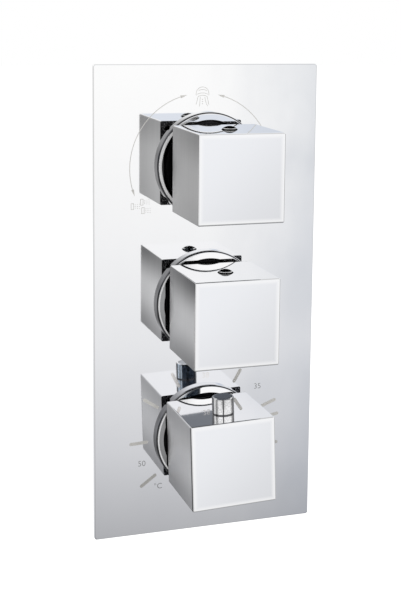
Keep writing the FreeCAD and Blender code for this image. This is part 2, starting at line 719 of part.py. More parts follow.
def spindle(name, corners, low):
    """A turned spindle whose splined end reaches into the handle's insert."""
    body = new_body(name + "_spindle")
    back = HANDLE_BACK[name]
    stem = S.stem_radius
    turned = revolve(body, corners + [
        (stem, back + HUB_STEM_END - 1), (S.spline_radius, back + HUB_STEM_END - 1),
        (S.spline_radius, back + SPLINE_END), (0, back + SPLINE_END),
    ])
    cut_splines(body, back + HUB_STEM_END, S.spline_length + S.insert_flange)
    turn = S.thermo_turn if name == "thermo" else 0
    seat(body, up=STATIONS[name], turn=turn)
    return body, turned


# ------------------------------------------------------------------------------ ceramic cartridges
def ceramic_housing(name):
    body = new_body(name + "_housing")
    bore = S.disc_radius + S.disc_gap
    groove = -(S.seat_depth + 10)
    shelf = FOOT_FRONT + S.latch_gap
    revolve(body, [
        (STEM_BORE, S.neck_reach), (S.neck_radius, S.neck_reach), (S.neck_radius, CARTRIDGE_FRONT),
        (FLANGE_RADIUS, CARTRIDGE_FRONT), (FLANGE_RADIUS, -S.seat_depth), (BARREL_RADIUS, -S.seat_depth),
        (BARREL_RADIUS, groove + S.ring_wire), (S.chamber_radius - 2 * S.ring_wire, groove + S.ring_wire),
        (S.chamber_radius - 2 * S.ring_wire, groove - S.ring_wire), (BARREL_RADIUS, groove - S.ring_wire),
        (BARREL_RADIUS, CERAMIC_REAR), (bore, CERAMIC_REAR), (bore, shelf), (STEM_BORE, shelf),
    ])
    middle = -S.duct_depth
    window = revolve(body, [
        (S.disc_radius - 1, middle - S.window_tall / 2), (S.boss_radius, middle - S.window_tall / 2),
        (S.boss_radius, middle + S.window_tall / 2), (S.disc_radius - 1, middle + S.window_tall / 2),
    ], "window", kind="Groove", angle=S.window_arc)
    around(body, window, 4, "windows")
    seat(body, up=STATIONS[name])
    return seal_ring(name + "_barrel_ring", S.chamber_radius - S.ring_wire, groove, STATIONS[name])


def ceramic_spindle(name):
    body, turned = spindle(name, [
        (0, FOOT_REAR), (S.foot_radius, FOOT_REAR), (S.foot_radius, FOOT_FRONT), (S.stem_radius, FOOT_FRONT),
    ], FOOT_REAR)
    dogs = sketch_on(body, "XY_Plane", "dog_outline", FOOT_REAR - S.dog_depth)
    for side in (-1, 1):
        low, high = sorted((side * (S.foot_radius - 2), side * S.foot_radius * 0.9), key=lambda s: s.number)
        rectangle(dogs, low, -S.dog_width / 2, high, S.dog_width / 2)
    pad(body, dogs, S.dog_depth, "dogs")


def disc_ports(sketch, name, shut):
    """The ports of a ceramic disc: two for flow, one or three for the diverter."""
    if name == "flow":
        for angle in ((90, 270) if shut else (0, 180)):
            across, over = polar(S.flow_port_at, angle)
            circle(sketch, S.flow_port, across if angle in (0, 180) else 0, 0 if angle in (0, 180) else over)
        return
    angles = [90] if shut else list(PORT_ANGLES.values())
    for angle in angles:
        across, over = polar(S.way_port_at, angle)
        circle(sketch, S.way_port, 0 if angle == 90 else across, over)


def ceramic_discs(name):
    """Moving disc with its drive notches, fixed disc, and the rubber seal below them."""
    disc = new_body(name + "_disc")
    face = circle(sketch_on(disc, "XY_Plane", "outline", DISC_SPLIT), S.disc_radius)
    disc_ports(face, name, shut=True)
    pad(disc, face, S.disc_thick)
    notch = sketch_on(disc, "XY_Plane", "notch_outline", FOOT_REAR - S.dog_depth - S.cartridge_gap)
    for side in (-1, 1):
        low, high = sorted((side * (S.foot_radius - 2.2), side * (S.disc_radius + 1)), key=lambda s: s.number)
        half = S.dog_width / 2 + S.cartridge_gap
        rectangle(notch, low, -half, high, half)
    pocket(disc, notch, S.dog_depth + S.cartridge_gap, "notches")
    seat(disc, up=STATIONS[name])

    fixed = new_body(name + "_seat_disc")
    face = circle(sketch_on(fixed, "XY_Plane", "outline", CERAMIC_REAR), S.disc_radius)
    disc_ports(face, name, shut=False)
    pad(fixed, face, S.disc_thick)
    seat(fixed, up=STATIONS[name])

    rubber = new_body(name + "_base_seal")
    face = circle(sketch_on(rubber, "XY_Plane", "outline", -S.ceramic_floor), S.base_radius)
    disc_ports(face, name, shut=False)
    pad(rubber, face, S.base_seal)
    seat(rubber, up=STATIONS[name])


# -------------------------------------------------------------------------- thermostatic cartridge
def thermo_housing():
    body = new_body("thermo_housing")
    rear = -(S.end_ring_front + S.end_ring_thick)
    inner = S.chamber_radius - 2 * S.ring_wire
    band = BARREL_RADIUS - S.band_cut
    half = S.port_band / 2
    wire = S.ring_wire
    grooves = [-S.hot_depth + half + 3, -(S.hot_depth + S.cold_depth) / 2, rear + 2 * wire]
    shelf = -S.seat_depth
    revolve(body, [
        (STEM_BORE, S.thermo_reach), (S.thermo_neck, S.thermo_reach), (S.thermo_neck, CARTRIDGE_FRONT),
        (FLANGE_RADIUS, CARTRIDGE_FRONT), (FLANGE_RADIUS, -S.seat_depth), (BARREL_RADIUS, -S.seat_depth),
        (BARREL_RADIUS, grooves[0] + wire), (inner, grooves[0] + wire), (inner, grooves[0] - wire),
        (BARREL_RADIUS, grooves[0] - wire),
        (BARREL_RADIUS, half - S.hot_depth), (band, half - S.hot_depth), (band, -half - S.hot_depth),
        (BARREL_RADIUS, -half - S.hot_depth),
        (BARREL_RADIUS, grooves[1] + wire), (inner, grooves[1] + wire), (inner, grooves[1] - wire),
        (BARREL_RADIUS, grooves[1] - wire),
        (BARREL_RADIUS, half - S.cold_depth), (band, half - S.cold_depth), (band, -half - S.cold_depth),
        (BARREL_RADIUS, -half - S.cold_depth),
        (BARREL_RADIUS, grooves[2] + wire), (inner, grooves[2] + wire), (inner, grooves[2] - wire),
        (BARREL_RADIUS, grooves[2] - wire),
        (BARREL_RADIUS, rear), (S.sleeve_bore, rear), (S.sleeve_bore, shelf), (STEM_BORE, shelf),
    ])
    for name, depth in (("hot", S.hot_depth), ("cold", S.cold_depth)):
        low, high = -S.slot_tall / 2 - depth, S.slot_tall / 2 - depth
        window = revolve(body, [
            (S.sleeve_bore - 1, low), (S.boss_radius, low), (S.boss_radius, high), (S.sleeve_bore - 1, high),
        ], name + "_window", kind="Groove", angle=S.window_arc)
        around(body, window, 4, name + "_windows")
    keyways = sketch_on(body, "XY_Plane", "keyway_outline", -(S.drive_front + S.drive_length + 1.5))
    reach = S.sleeve_bore + 1
    side = S.key_width / 2 + S.slide_gap
    rectangle(keyways, -reach, -side, reach, side)
    pocket(body, keyways, S.drive_length + 1.5 + S.drive_front - S.seat_depth, "keyways")
    seat(body, up=STATIONS["thermo"])
    radius = S.chamber_radius - S.ring_wire
    return [seal_ring("thermo_ring_%d" % (i + 1), radius, out, STATIONS["thermo"])
            for i, out in enumerate(grooves)]


def thermo_spindle():
    front = -S.seat_depth - S.slide_gap
    spindle("thermo", [
        (0, -24.5), (S.thread_stem, -24.5), (S.thread_stem, front - 1.2),
        (S.foot_radius - 1.5, front - 1.2), (S.foot_radius - 1.5, front), (S.stem_radius, front),
    ], -24.5)


def drive_nut():
    """Nut on the spindle's thread: keyed in the housing, it slides and presses the wax capsule."""
    body = new_body("drive_nut")
    front = -S.drive_front
    rear = front - S.drive_length
    floor = front - S.drive_wall
    bore = S.thread_stem + S.slide_gap
    revolve(body, [
        (bore, front), (S.drive_radius, front), (S.drive_radius, rear), (S.drive_cup, rear),
        (S.drive_cup, floor), (bore, floor),
    ])
    for side, name in ((-1, "left"), (1, "right")):
        key = sketch_on(body, "XY_Plane", name + "_key_outline", rear)
        low, high = sorted((side * (S.drive_radius - 1), side * (S.sleeve_bore + 0.8)), key=lambda s: s.number)
        rectangle(key, low, -S.key_width / 2, high, S.key_width / 2)
        pad(body, key, S.drive_length, name + "_key")
    seat(body, up=STATIONS["thermo"])


def overload_pusher():
    body = new_body("overload_pusher")
    front = PUSHER_FRONT
    rear = front - S.pusher_thick
    hole, skin = S.pin_radius + S.thread_gap, front - S.pusher_skin
    revolve(body, [
        (0, front), (S.pusher_radius, front), (S.pusher_radius, rear), (hole, rear), (hole, skin), (0, skin),
    ])
    seat(body, up=STATIONS["thermo"])
    floor = -(S.drive_front + S.drive_wall)
    spring = coil("overload_spring", 6.2, 0.55, front, floor, 2.5)
    seat(spring, up=STATIONS["thermo"])


def shuttle():
    """Spool that opens the hot windows as it closes the cold ones; its web holds the wax capsule."""
    body = new_body("shuttle")
    outer = S.sleeve_bore - S.slide_gap
    inner = outer - S.shuttle_wall
    front, rear = -S.shuttle_front, -(S.shuttle_front + S.shuttle_length)
    web, web_rear = -S.web_front, -(S.web_front + S.web_thick)
    bore = S.element_radius + S.stem_gap
    revolve(body, [
        (inner, front), (outer, front), (outer, rear), (inner, rear), (inner, web_rear),
        (bore, web_rear), (bore, web), (inner, web),
    ])
    hole = sketch_on(body, "XY_Plane", "flow_hole", web_rear)
    circle(hole, 1.5, (bore + inner) / 2, 0)
    first = pocket(body, hole, S.web_thick, "flow_hole_cut")
    around(body, first, 8, "flow_holes")
    seat(body, up=STATIONS["thermo"])


def wax_element():
    """Wax capsule held in the shuttle's web, and the piston that it drives against the pusher."""
    body = new_body("wax_element")
    seat_face = -S.web_front
    tail = seat_face - S.element_length
    guide = seat_face + S.guide_length
    bore = S.pin_radius + S.stem_gap
    piston_tail = seat_face - S.pin_sunk
    revolve(body, [
        (0, tail), (S.element_radius - 1, tail), (S.element_radius, tail + 1), (S.element_radius, seat_face),
        (S.element_radius + 1.5, seat_face), (S.element_radius + 1.5, seat_face + 2),
        (S.guide_radius, seat_face + 2), (S.guide_radius, guide), (bore, guide),
        (bore, piston_tail - S.pin_play), (0, piston_tail - S.pin_play),
    ])
    seat(body, up=STATIONS["thermo"])
    piston = new_body("wax_piston")
    front = PUSHER_FRONT - S.pusher_skin
    revolve(piston, [(0, piston_tail), (S.pin_radius, piston_tail), (S.pin_radius, front), (0, front)])
    seat(piston, up=STATIONS["thermo"])


def thermo_end():
    """Rear retaining ring of the housing and the return spring between it and the shuttle."""
    body = new_body("thermo_end_ring")
    front = -S.end_ring_front
    rear = front - S.end_ring_thick
    outer = S.sleeve_bore - S.cartridge_gap
    revolve(body, [(8.2, rear), (outer, rear), (outer, front), (8.2, front)])
    seat(body, up=STATIONS["thermo"])
    web_rear = -(S.web_front + S.web_thick)
    spring = coil("return_spring", 9.2, 0.7, front, web_rear, 3.5, runs=12)
    seat(spring, up=STATIONS["thermo"])


def stop_ring():
    """Limit stop on the thermostatic neck; its sector fills the arc that the latch never enters."""
    body = new_body("stop_ring")
    back = S.stop_back
    revolve(body, [
        (S.thermo_neck + S.stem_gap, back), (S.stop_hub - S.latch_gap, back),
        (S.stop_hub - S.latch_gap, back + S.stop_thick), (S.thermo_neck + S.stem_gap, back + S.stop_thick),
    ])
    half_latch = math.degrees(math.asin((S.latch_width.number / 2 + S.latch_gap.number) / S.stop_hub.number))
    hot_edge = 90 + S.hot_limit + S.thermo_turn + half_latch
    cold_edge = 450 - S.cold_limit + S.thermo_turn - half_latch
    profile = sketch_on(body, "XY_Plane", "sector_outline", back)
    steps = 6
    rim = []
    for step in range(steps + 1):
        angle = hot_edge + (cold_edge - hot_edge) * step / steps
        rim.append(polar(S.stop_radius, angle))
    inner = []
    for step in range(steps, -1, -1):
        angle = hot_edge + (cold_edge - hot_edge) * step / steps
        inner.append(polar(S.thermo_neck + 1, angle))
    outline(profile, rim + inner)
    pad(body, profile, S.stop_thick, "sector")
    seat(body, up=STATIONS["thermo"])


# ----------------------------------------------------------------------------------------- handles
def handle(name):
    """A hollow square casting, open at the back, with ribs and a hub for the splined insert."""
    body = new_body(name + "_handle")
    block = pad(body, square(sketch_on(body, "XY_Plane", "outline"), S.cube_side), S.cube_deep, "block")
    shell = soften(body, block, lambda edge: edge.BoundBox.ZMax > S.cube_deep.number - 1e-4,
                   S.cube_round, "edges")
    hollow = square(sketch_on(body, "XY_Plane", "hollow_outline"), S.cube_side - 2 * S.cube_wall)
    pocket(body, hollow, S.cube_deep - S.cube_wall, "hollow")
    reach = S.cube_deep - S.cube_wall - S.hub_back
    pad(body, circle(sketch_on(body, "XY_Plane", "hub_outline", S.hub_back), S.hub_radius), reach, "hub")
    span = S.cube_side / 2 - S.cube_wall / 2
    for word, wide, tall in (("flat", span, S.rib_wall / 2), ("upright", S.rib_wall / 2, span)):
        rib = rectangle(sketch_on(body, "XY_Plane", word + "_rib_outline", S.rib_back), -wide, -tall, wide, tall)
        pad(body, rib, S.cube_deep - S.cube_wall - S.rib_back, word + "_rib")
    side = 1
    if name == "thermo":
        side = -1
        rise = S.cube_side / 2 - S.cube_wall - S.turret_base
        rod(body, S.turret_radius, "y", (0, S.turret_base, S.button_at), rise, "turret")
        rod(body, S.button_radius + S.button_gap, "y", (0, S.turret_base + S.turret_floor, S.button_at),
            S.cube_side, "button_bore", cut=True)
        rod(body, S.button_stem + S.button_gap, "y", (0, S.turret_base - 1, S.button_at),
            S.cube_side, "stem_bore", cut=True)
    pocket(body, circle(sketch_on(body, "XY_Plane", "socket_outline", S.hub_back), S.insert_radius),
           S.insert_length, "socket")
    start = 0 if side > 0 else -S.hub_radius - 1
    rod(body, S.screw_radius + S.thread_gap, "y", (0, start, S.screw_at), S.hub_radius + 1,
        "screw_hole", cut=True)
    start = S.hub_radius + 1 if side > 0 else -S.cube_side
    rod(body, S.cap_plug, "y", (0, start, S.screw_at), S.cube_side - S.hub_radius - 1, "cap_hole", cut=True)
    turn = S.thermo_turn if name == "thermo" else 0
    seat(body, out=HANDLE_BACK[name], up=STATIONS[name], turn=turn)
    return side, turn


def insert(name, side, turn):
    """Splined brass insert in the handle's hub, with the hole that the grub screw passes."""
    body = new_body(name + "_insert")
    bore = S.spline_radius + S.stem_gap
    outer = S.insert_radius - S.stem_gap
    flange = S.hub_back - S.insert_flange
    front = S.hub_back + S.insert_length
    revolve(body, [
        (bore, flange), (S.hub_radius - 1, flange), (S.hub_radius - 1, S.hub_back), (outer, S.hub_back),
        (outer, front), (0, front), (0, front - 1.5), (bore, front - 1.5),
    ])
    start = 0 if side > 0 else -S.hub_radius
    rod(body, S.screw_radius + S.thread_gap, "y", (0, start, S.screw_at), S.hub_radius, "screw_hole", cut=True)
    seat(body, out=HANDLE_BACK[name], up=STATIONS[name], turn=turn)


def grub_screw(name, side, turn):
    body = new_body(name + "_grub_screw")
    low = S.spline_radius + S.stem_gap
    turned = revolve(body, [
        (0, low), (S.screw_radius - 0.6, low), (S.screw_radius, low + 0.6),
        (S.screw_radius, low + S.screw_length), (0, low + S.screw_length),
    ], plane="XY_Plane")
    socket = hexagon(sketch_on(body, "XZ_Plane", "key_outline", -(low + S.screw_length)), S.screw_key)
    cut = feature(body, "Pocket", socket, "key")
    cut.Reversed = True
    bind(cut, "Length", S.screw_length / 2)
    if cut.Reversed:
        cut.Reversed = False
    doc.recompute()
    if cut.Shape.Volume > turned.Shape.Volume - 1:
        cut.Reversed = True
    out = HANDLE_BACK[name] + S.screw_at
    spin = Size.of(turn) + (0 if side > 0 else 180)
    seat(body, out=out, up=STATIONS[name], turn=spin)


def cap(name):
    """Domed cap plugged into the handle's top over the grub screw."""
    body = new_body(name + "_cap")
    top = S.cube_side / 2
    dome = (S.cap_radius * S.cap_radius + S.cap_height * S.cap_height) / (2 * S.cap_height)
    plug = S.cap_plug - S.stem_gap
    revolve(body, [
        (0, top - S.cube_wall), (plug, top - S.cube_wall), (plug, top), (S.cap_radius, top, dome),
        (0, top + S.cap_height),
    ], plane="XY_Plane")
    seat(body, out=HANDLE_BACK[name] + S.screw_at, up=STATIONS[name])


def safety_button(turn):
    """Sprung button in the handle's top; its stem carries the latch down to the stop ring."""
    top = S.cube_side / 2 + S.button_rise
    skirt = S.cube_side / 2 - S.button_sink
    pocket_top = top - S.button_roof
    stem_end = S.turret_base - S.latch_gap - S.latch_thick
    body = new_body("safety_button")
    bevel = S.button_bevel
    revolve(body, [
        (0, stem_end), (S.button_stem, stem_end), (S.button_stem, pocket_top), (S.button_core, pocket_top),
        (S.button_core, skirt), (S.button_radius, skirt), (S.button_radius, top - bevel),
        (S.button_radius - bevel, top), (0, top),
    ], plane="XY_Plane")
    out = HANDLE_BACK["thermo"] + S.button_at
    seat(body, out=out, up=STATIONS["thermo"], turn=turn)
    spring = coil("button_spring", (S.button_stem + S.button_core) / 2, 0.4,
                  S.turret_base + S.turret_floor, pocket_top, 6.5, runs=8, upright=True)
    seat(spring, out=out, up=STATIONS["thermo"], turn=turn)


def safety_latch(turn):
    body = new_body("safety_latch")
    top = S.turret_base - S.latch_gap
    low = top - S.latch_thick
    half = S.latch_width / 2
    arm = sketch_on(body, "XY_Plane", "arm_outline", S.latch_toe)
    rectangle(arm, -half, low, half, top)
    pad(body, arm, S.button_at - S.latch_toe, "arm")
    foot = sketch_on(body, "XY_Plane", "foot_outline", S.latch_toe)
    rectangle(foot, -half, low, half, top + S.latch_thick / 2)
    pad(body, foot, S.latch_foot, "foot")
    rod(body, half + 2, "y", (0, low, S.button_at), S.latch_thick, "eye")
    rod(body, S.button_stem, "y", (0, low - 1, S.button_at), S.latch_thick + 2, "eye_hole", cut=True)
    seat(body, out=HANDLE_BACK["thermo"], up=STATIONS["thermo"], turn=turn)


# ------------------------------------------------------------------------- inlets and check valves
LEG_END = -S.leg_drop
UNION_TOP = LEG_END + S.union_thread
HEAD_TOP = LEG_END - S.washer_thick
HEAD_LOW = HEAD_TOP - S.union_head
TAIL_END = HEAD_LOW - S.tail_length
CAGE_LOW = UNION_TOP - S.cage_length


def at_leg(thing, side):
    seat(thing, side * S.leg_offset, -S.leg_depth, STATIONS["thermo"])


def pipe_union(name, side):
    """Union screwed into an inlet leg: check valve pocket above, socket for the pipe below."""
    body = new_body(name + "_union")
    thread = S.port_radius - S.thread_gap
    pipe_stop = TAIL_END + S.socket_length
    neck = S.pipe_radius - 1.3
    revolve(body, [
        (S.cage_radius, UNION_TOP), (thread, UNION_TOP), (thread, HEAD_TOP), (S.union_flats / 2 - 0.2, HEAD_TOP),
        (S.union_flats / 2 - 0.2, HEAD_LOW), (S.tail_radius, HEAD_LOW), (S.tail_radius, TAIL_END),
        (S.pipe_radius, TAIL_END), (S.pipe_radius, pipe_stop), (neck, pipe_stop), (neck, CAGE_LOW),
        (S.cage_radius, CAGE_LOW),
    ], plane="XY_Plane")
    head = hexagon(sketch_on(body, "XZ_Plane", "head_outline", -HEAD_TOP), S.union_flats)
    circle(head, S.tail_radius)
    made = feature(body, "Pad", head, "head")
    bind(made, "Length", S.union_head)
    at_leg(body, side)


def union_fittings():
    """Washers, strainers, pipe nuts and olives: one node each, two equal solids in every one."""
    washers, strainers, nuts, olives = [], [], [], []
    for side, name in ((-1, "hot"), (1, "cold")):
        washers.append(plain_turned(name + "_washer", side, [
            (S.port_radius + 0.2, LEG_END), (S.leg_radius - 1, LEG_END), (S.leg_radius - 1, HEAD_TOP),
            (S.port_radius + 0.2, HEAD_TOP),
        ]))
        strainers.append(strainer(name, side))
        nuts.append(pipe_nut(name, side))
        low = TAIL_END - S.thread_gap - S.olive_length
        bore = S.pipe_radius
        olives.append(plain_turned(name + "_olive", side, [
            (bore, low), (bore + 0.6, low), (bore + 1.9, low + S.olive_length * 0.35),
            (bore + 1.9, low + S.olive_length * 0.65), (bore + 0.8, low + S.olive_length),
            (bore, low + S.olive_length),
        ]))
    group("union_washers", washers)
    group("inlet_strainers", strainers)
    group("pipe_nuts", nuts)
    group("pipe_olives", olives)


def plain_turned(name, side, corners):
    body = doc.addObject("PartDesign::Body", name)
    revolve(body, corners, plane="XY_Plane")
    at_leg(body, side)
    return body


def strainer(name, side):
    """A domed strainer sheet with slots around its wall."""
    body = doc.addObject("PartDesign::Body", name + "_strainer")
    base = UNION_TOP
    top = base + S.strainer_height
    sheet = S.strainer_sheet
    dome = S.strainer_dome
    revolve(body, [
        (dome - sheet, base), (S.strainer_radius, base), (S.strainer_radius, base + sheet),
        (dome, base + sheet), (dome, top - 1), (dome - 1, top), (0, top), (0, top - sheet),
        (dome - 1.2, top - sheet), (dome - sheet, top - 1.2),
    ], plane="XY_Plane")
    slot = sketch_on(body, "XY_Plane", "slot_outline", dome - 2 * sheet)
    rectangle(slot, -0.5, base + 1, 0.5, top - 1.1)
    first = pocket(body, slot, 3 * sheet, "slot")
    around(body, first, 12, "slots", "Y_Axis")
    at_leg(body, side)
    return body


def pipe_nut(name, side):
    body = doc.addObject("PartDesign::Body", name + "_pipe_nut")
    high = HEAD_LOW - 4
    low = high - S.pipe_nut_length
    shape = hexagon(sketch_on(body, "XZ_Plane", "outline", -high), S.pipe_nut_flats)
    block = feature(body, "Pad", shape, "block")
    bind(block, "Length", S.pipe_nut_length)
    thread = S.tail_radius + S.thread_gap
    floor = TAIL_END - S.olive_length - 2 * S.thread_gap
    rod(body, thread, "y", (0, floor, 0), high - floor, "thread", cut=True)
    rod(body, S.pipe_radius + 0.2, "y", (0, low, 0), high - low, "way", cut=True)
    at_leg(body, side)
    return body


def check_valve(name, side):
    """Cage, poppet and spring of one non-return valve, drawn on the inlet leg's axis."""
    cage = new_body(name + "_check_cage")
    outer = S.cage_radius - S.stem_gap
    inner = outer - S.cage_wall
    floor = CAGE_LOW + S.cage_floor
    roof = UNION_TOP - S.spider_thick
    guide = S.poppet_stem + S.stem_gap
    revolve(cage, [
        (S.poppet_radius - 1, CAGE_LOW), (outer, CAGE_LOW), (outer, UNION_TOP), (guide, UNION_TOP),
        (guide, roof), (inner, roof), (inner, floor), (S.poppet_radius - 1, floor),
    ], plane="XY_Plane")
    opening = rod(cage, 1.5, "y", (0, roof - 1, (guide + inner) / 2), S.spider_thick + 2, "opening", cut=True)
    around(cage, opening, 5, "openings", "Y_Axis")
    at_leg(cage, side)

    seat_gap = S.cartridge_gap
    low = floor + seat_gap
    poppet = new_body(name + "_poppet")
    revolve(poppet, [
        (0, low), (S.poppet_radius - 0.8, low), (S.poppet_radius, low + 0.8),
        (S.poppet_radius, low + S.poppet_thick), (S.poppet_stem, low + S.poppet_thick),
        (S.poppet_stem, UNION_TOP - 0.2), (0, UNION_TOP - 0.2),
    ], plane="XY_Plane")
    at_leg(poppet, side)
    spring = coil(name + "_check_spring", 3, 0.35, low + S.poppet_thick, roof, 4.5, runs=8, upright=True)
    at_leg(spring, side)


# -------------------------------------------------------------------------------------- assembly
def build():
    face_plate()
    plate_seal()
    group("collar_seals", [collar(name, height) for name, height in STATIONS.items()])
    valve_body()
    barrel_rings = []
    for name in ("divert", "flow"):
        retaining_nut(name, S.neck_radius)
        barrel_rings.append(ceramic_housing(name))
        ceramic_spindle(name)
        ceramic_discs(name)
    retaining_nut("thermo", S.thermo_neck)
    barrel_rings += thermo_housing()
    group("cartridge_seals", barrel_rings)
    thermo_spindle()
    drive_nut()
    overload_pusher()
    shuttle()
    wax_element()
    thermo_end()
    stop_ring()
    for name in STATIONS:
        side, turn = handle(name)
        insert(name, side, turn)
        grub_screw(name, side, turn)
        if name != "thermo":
            cap(name)
    safety_button(S.thermo_turn)
    safety_latch(S.thermo_turn)
    for side, name in ((-1, "hot"), (1, "cold")):
        pipe_union(name, side)
        check_valve(name, side)
    union_fittings()


def export():
    """Check every object, then write one file for each sub-part."""
    doc.recompute()
    for thing in doc.Objects:
        if "Invalid" in thing.State or "Error" in thing.State:
            raise RuntimeError("failed: %s %s" % (thing.Label, thing.State))
    for node in NODES:
        if node.Shape.isNull() or not node.Shape.isValid():
            raise RuntimeError("bad shape: " + node.Label)
    os.makedirs("parts", exist_ok=True)
    for node in NODES:
        node.Shape.exportStep(os.path.join("parts", node.Label + ".step"))
        print("%-18s %d solid(s) %9.1f mm3" % (node.Label, len(node.Shape.Solids), node.Shape.Volume))


build()
export()
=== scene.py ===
"""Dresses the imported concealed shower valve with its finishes, etched marks, springs and threads.

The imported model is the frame. Lengths are in metres, +Z is up and the front faces -Y.
"""
import json
import math
from functools import cache

import bmesh
import bpy
from bpy.props import FloatProperty, FloatVectorProperty, IntProperty, PointerProperty
from mathutils import Matrix, Vector


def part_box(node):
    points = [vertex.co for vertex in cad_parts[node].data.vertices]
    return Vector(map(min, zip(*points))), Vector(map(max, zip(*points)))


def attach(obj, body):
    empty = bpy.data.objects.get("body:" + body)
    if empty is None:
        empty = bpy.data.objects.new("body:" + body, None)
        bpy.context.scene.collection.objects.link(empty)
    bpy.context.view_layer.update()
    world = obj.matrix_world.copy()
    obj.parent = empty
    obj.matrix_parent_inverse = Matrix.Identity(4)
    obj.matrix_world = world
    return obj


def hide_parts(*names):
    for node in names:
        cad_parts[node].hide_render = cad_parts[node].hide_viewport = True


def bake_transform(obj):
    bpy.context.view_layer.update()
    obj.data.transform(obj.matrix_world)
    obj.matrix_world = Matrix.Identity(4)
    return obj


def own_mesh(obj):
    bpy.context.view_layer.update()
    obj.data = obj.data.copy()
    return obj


bl_info = {
    "name": "Concealed shower valve",
    "version": (1, 0, 0),
    "blender": (4, 5, 0),
    "location": "3D View > Sidebar > Shower Valve",
    "description": "Dresses a concealed thermostatic shower valve and sets its studio",
    "category": "Object",
}

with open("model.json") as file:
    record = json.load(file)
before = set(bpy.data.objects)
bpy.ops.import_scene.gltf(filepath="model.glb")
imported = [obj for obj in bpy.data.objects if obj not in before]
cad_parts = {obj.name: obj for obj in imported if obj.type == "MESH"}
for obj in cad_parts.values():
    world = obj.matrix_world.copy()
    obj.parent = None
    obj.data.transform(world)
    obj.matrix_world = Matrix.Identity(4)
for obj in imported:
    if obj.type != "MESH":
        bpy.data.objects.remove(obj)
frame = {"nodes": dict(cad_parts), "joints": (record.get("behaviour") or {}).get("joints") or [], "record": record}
NODES = frame["nodes"]
SLOTS = {row["node"]: row["material_slot"] for row in frame["record"]["subparts"]}
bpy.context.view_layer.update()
MM = 0.001
PLATE_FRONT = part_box("face_plate")[0].y


def middle(node):
    """The middle of a node's box."""
    low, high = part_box(node)
    return (low + high) / 2


def dimmed(tone, share):
    return tuple(share * channel for channel in tone)


# the height of each handle's axis, to the micrometre, and the turn at which the temperature handle rests
STATIONS = {station: round(middle(station + "_collar").z, 6) for station in ("divert", "flow", "thermo")}
THERMO_TILT = math.radians(2)

# springs that a joint closes up: their body, the joint that presses them and its direction
SPRUNG = {
    "button_spring": ("button", "safety_press", (math.sin(THERMO_TILT), 0.0, -math.cos(THERMO_TILT))),
    "hot_check_spring": ("hot_check", "hot_check_lift", (0.0, 0.0, 1.0)),
    "cold_check_spring": ("cold_check", "cold_check_lift", (0.0, 0.0, 1.0)),
}
RETURN_SPRING = "return_spring"    # it sits between the drive nut, in front, and the casting, and rides on neither

# the centre of the diverter's arrows, and how far above it the rose's middle stands
ARROW_CENTRE = (-3.4 * MM, STATIONS["divert"] - 1.2 * MM)
ROSE_LIFT = 43.0 * MM
# the rose, in millimetres right and up of its middle: its ribs' heights with their shares of its width,
# its streams, and its rows of drops by the first drop, the step to the next one and the radius
ROSE_RIBS = ((1.0, 0.7), (-1.0, 0.93), (-2.4, 0.8))
ROSE_STREAMS = (((-2.79, -1.9), (-3.875, -6.2)), ((-1.35, -1.9), (-1.875, -7.4)),
                ((1.35, -1.9), (2.1, -5.2)), ((2.8, -1.6), (3.9, -6.4)))
ROSE_DROPS = (((0, -3.2), (0, -1.3), 0.32), ((2.3, -5.4), (0.35, -0.8), 0.3))
# the left body jets' middles, in millimetres right and up of the diverter's axis, and half a jet's size
JETS = ((-45.2, -23.0), (-39.6, -20.6), (-38.9, -25.6))
JET_HALF_WIDTH, JET_HALF_HEIGHT = 0.75 * MM, 1.75 * MM
# how far a jet's drops fly and how far they spread: the first drop, and each next one's addition
JET_THROW, JET_SPREAD = (1.7, 1.3), (0.95, 0.16)

# the temperature dial's bars and figures: degrees clockwise from the top, then radii in millimetres
DIAL_BARS = ((30, 35.2, 44.8), (68.6, 38.0, 48.6), (79.5, 38.0, 48.0), (102, 38.0, 48.0), (135, 36.5, 48.5),
             (-126, 37.6, 49.8), (-92.5, 35.5, 47.0), (-57, 34.5, 46.0), (-28, 34.5, 45.0))
DIAL_FIGURES = (("38", 0, 36.5), ("35", 51, 42.7), ("30", 82, 42.0), ("20", 118, 42.5),
                ("50", -110.5, 42.0), ("°C", -135.5, 41.8))


# ---- sizes and colours ----
def length_field(name, description, millimetres):
    return FloatProperty(name=name, description=description, default=millimetres * MM, unit="LENGTH")


def angle_field(name, description, degrees):
    return FloatProperty(name=name, description=description, default=math.radians(degrees), subtype="ANGLE")


def share_field(name, description, share):
    return FloatProperty(name=name, description=description, default=share, min=0.0, max=1.0,
                         subtype="FACTOR")


def power_field(name, description, watts):
    return FloatProperty(name=name, description=description, default=watts, unit="POWER")


def colour_field(name, description, colour):
    return FloatVectorProperty(name=name, description=description, default=colour, subtype="COLOR")


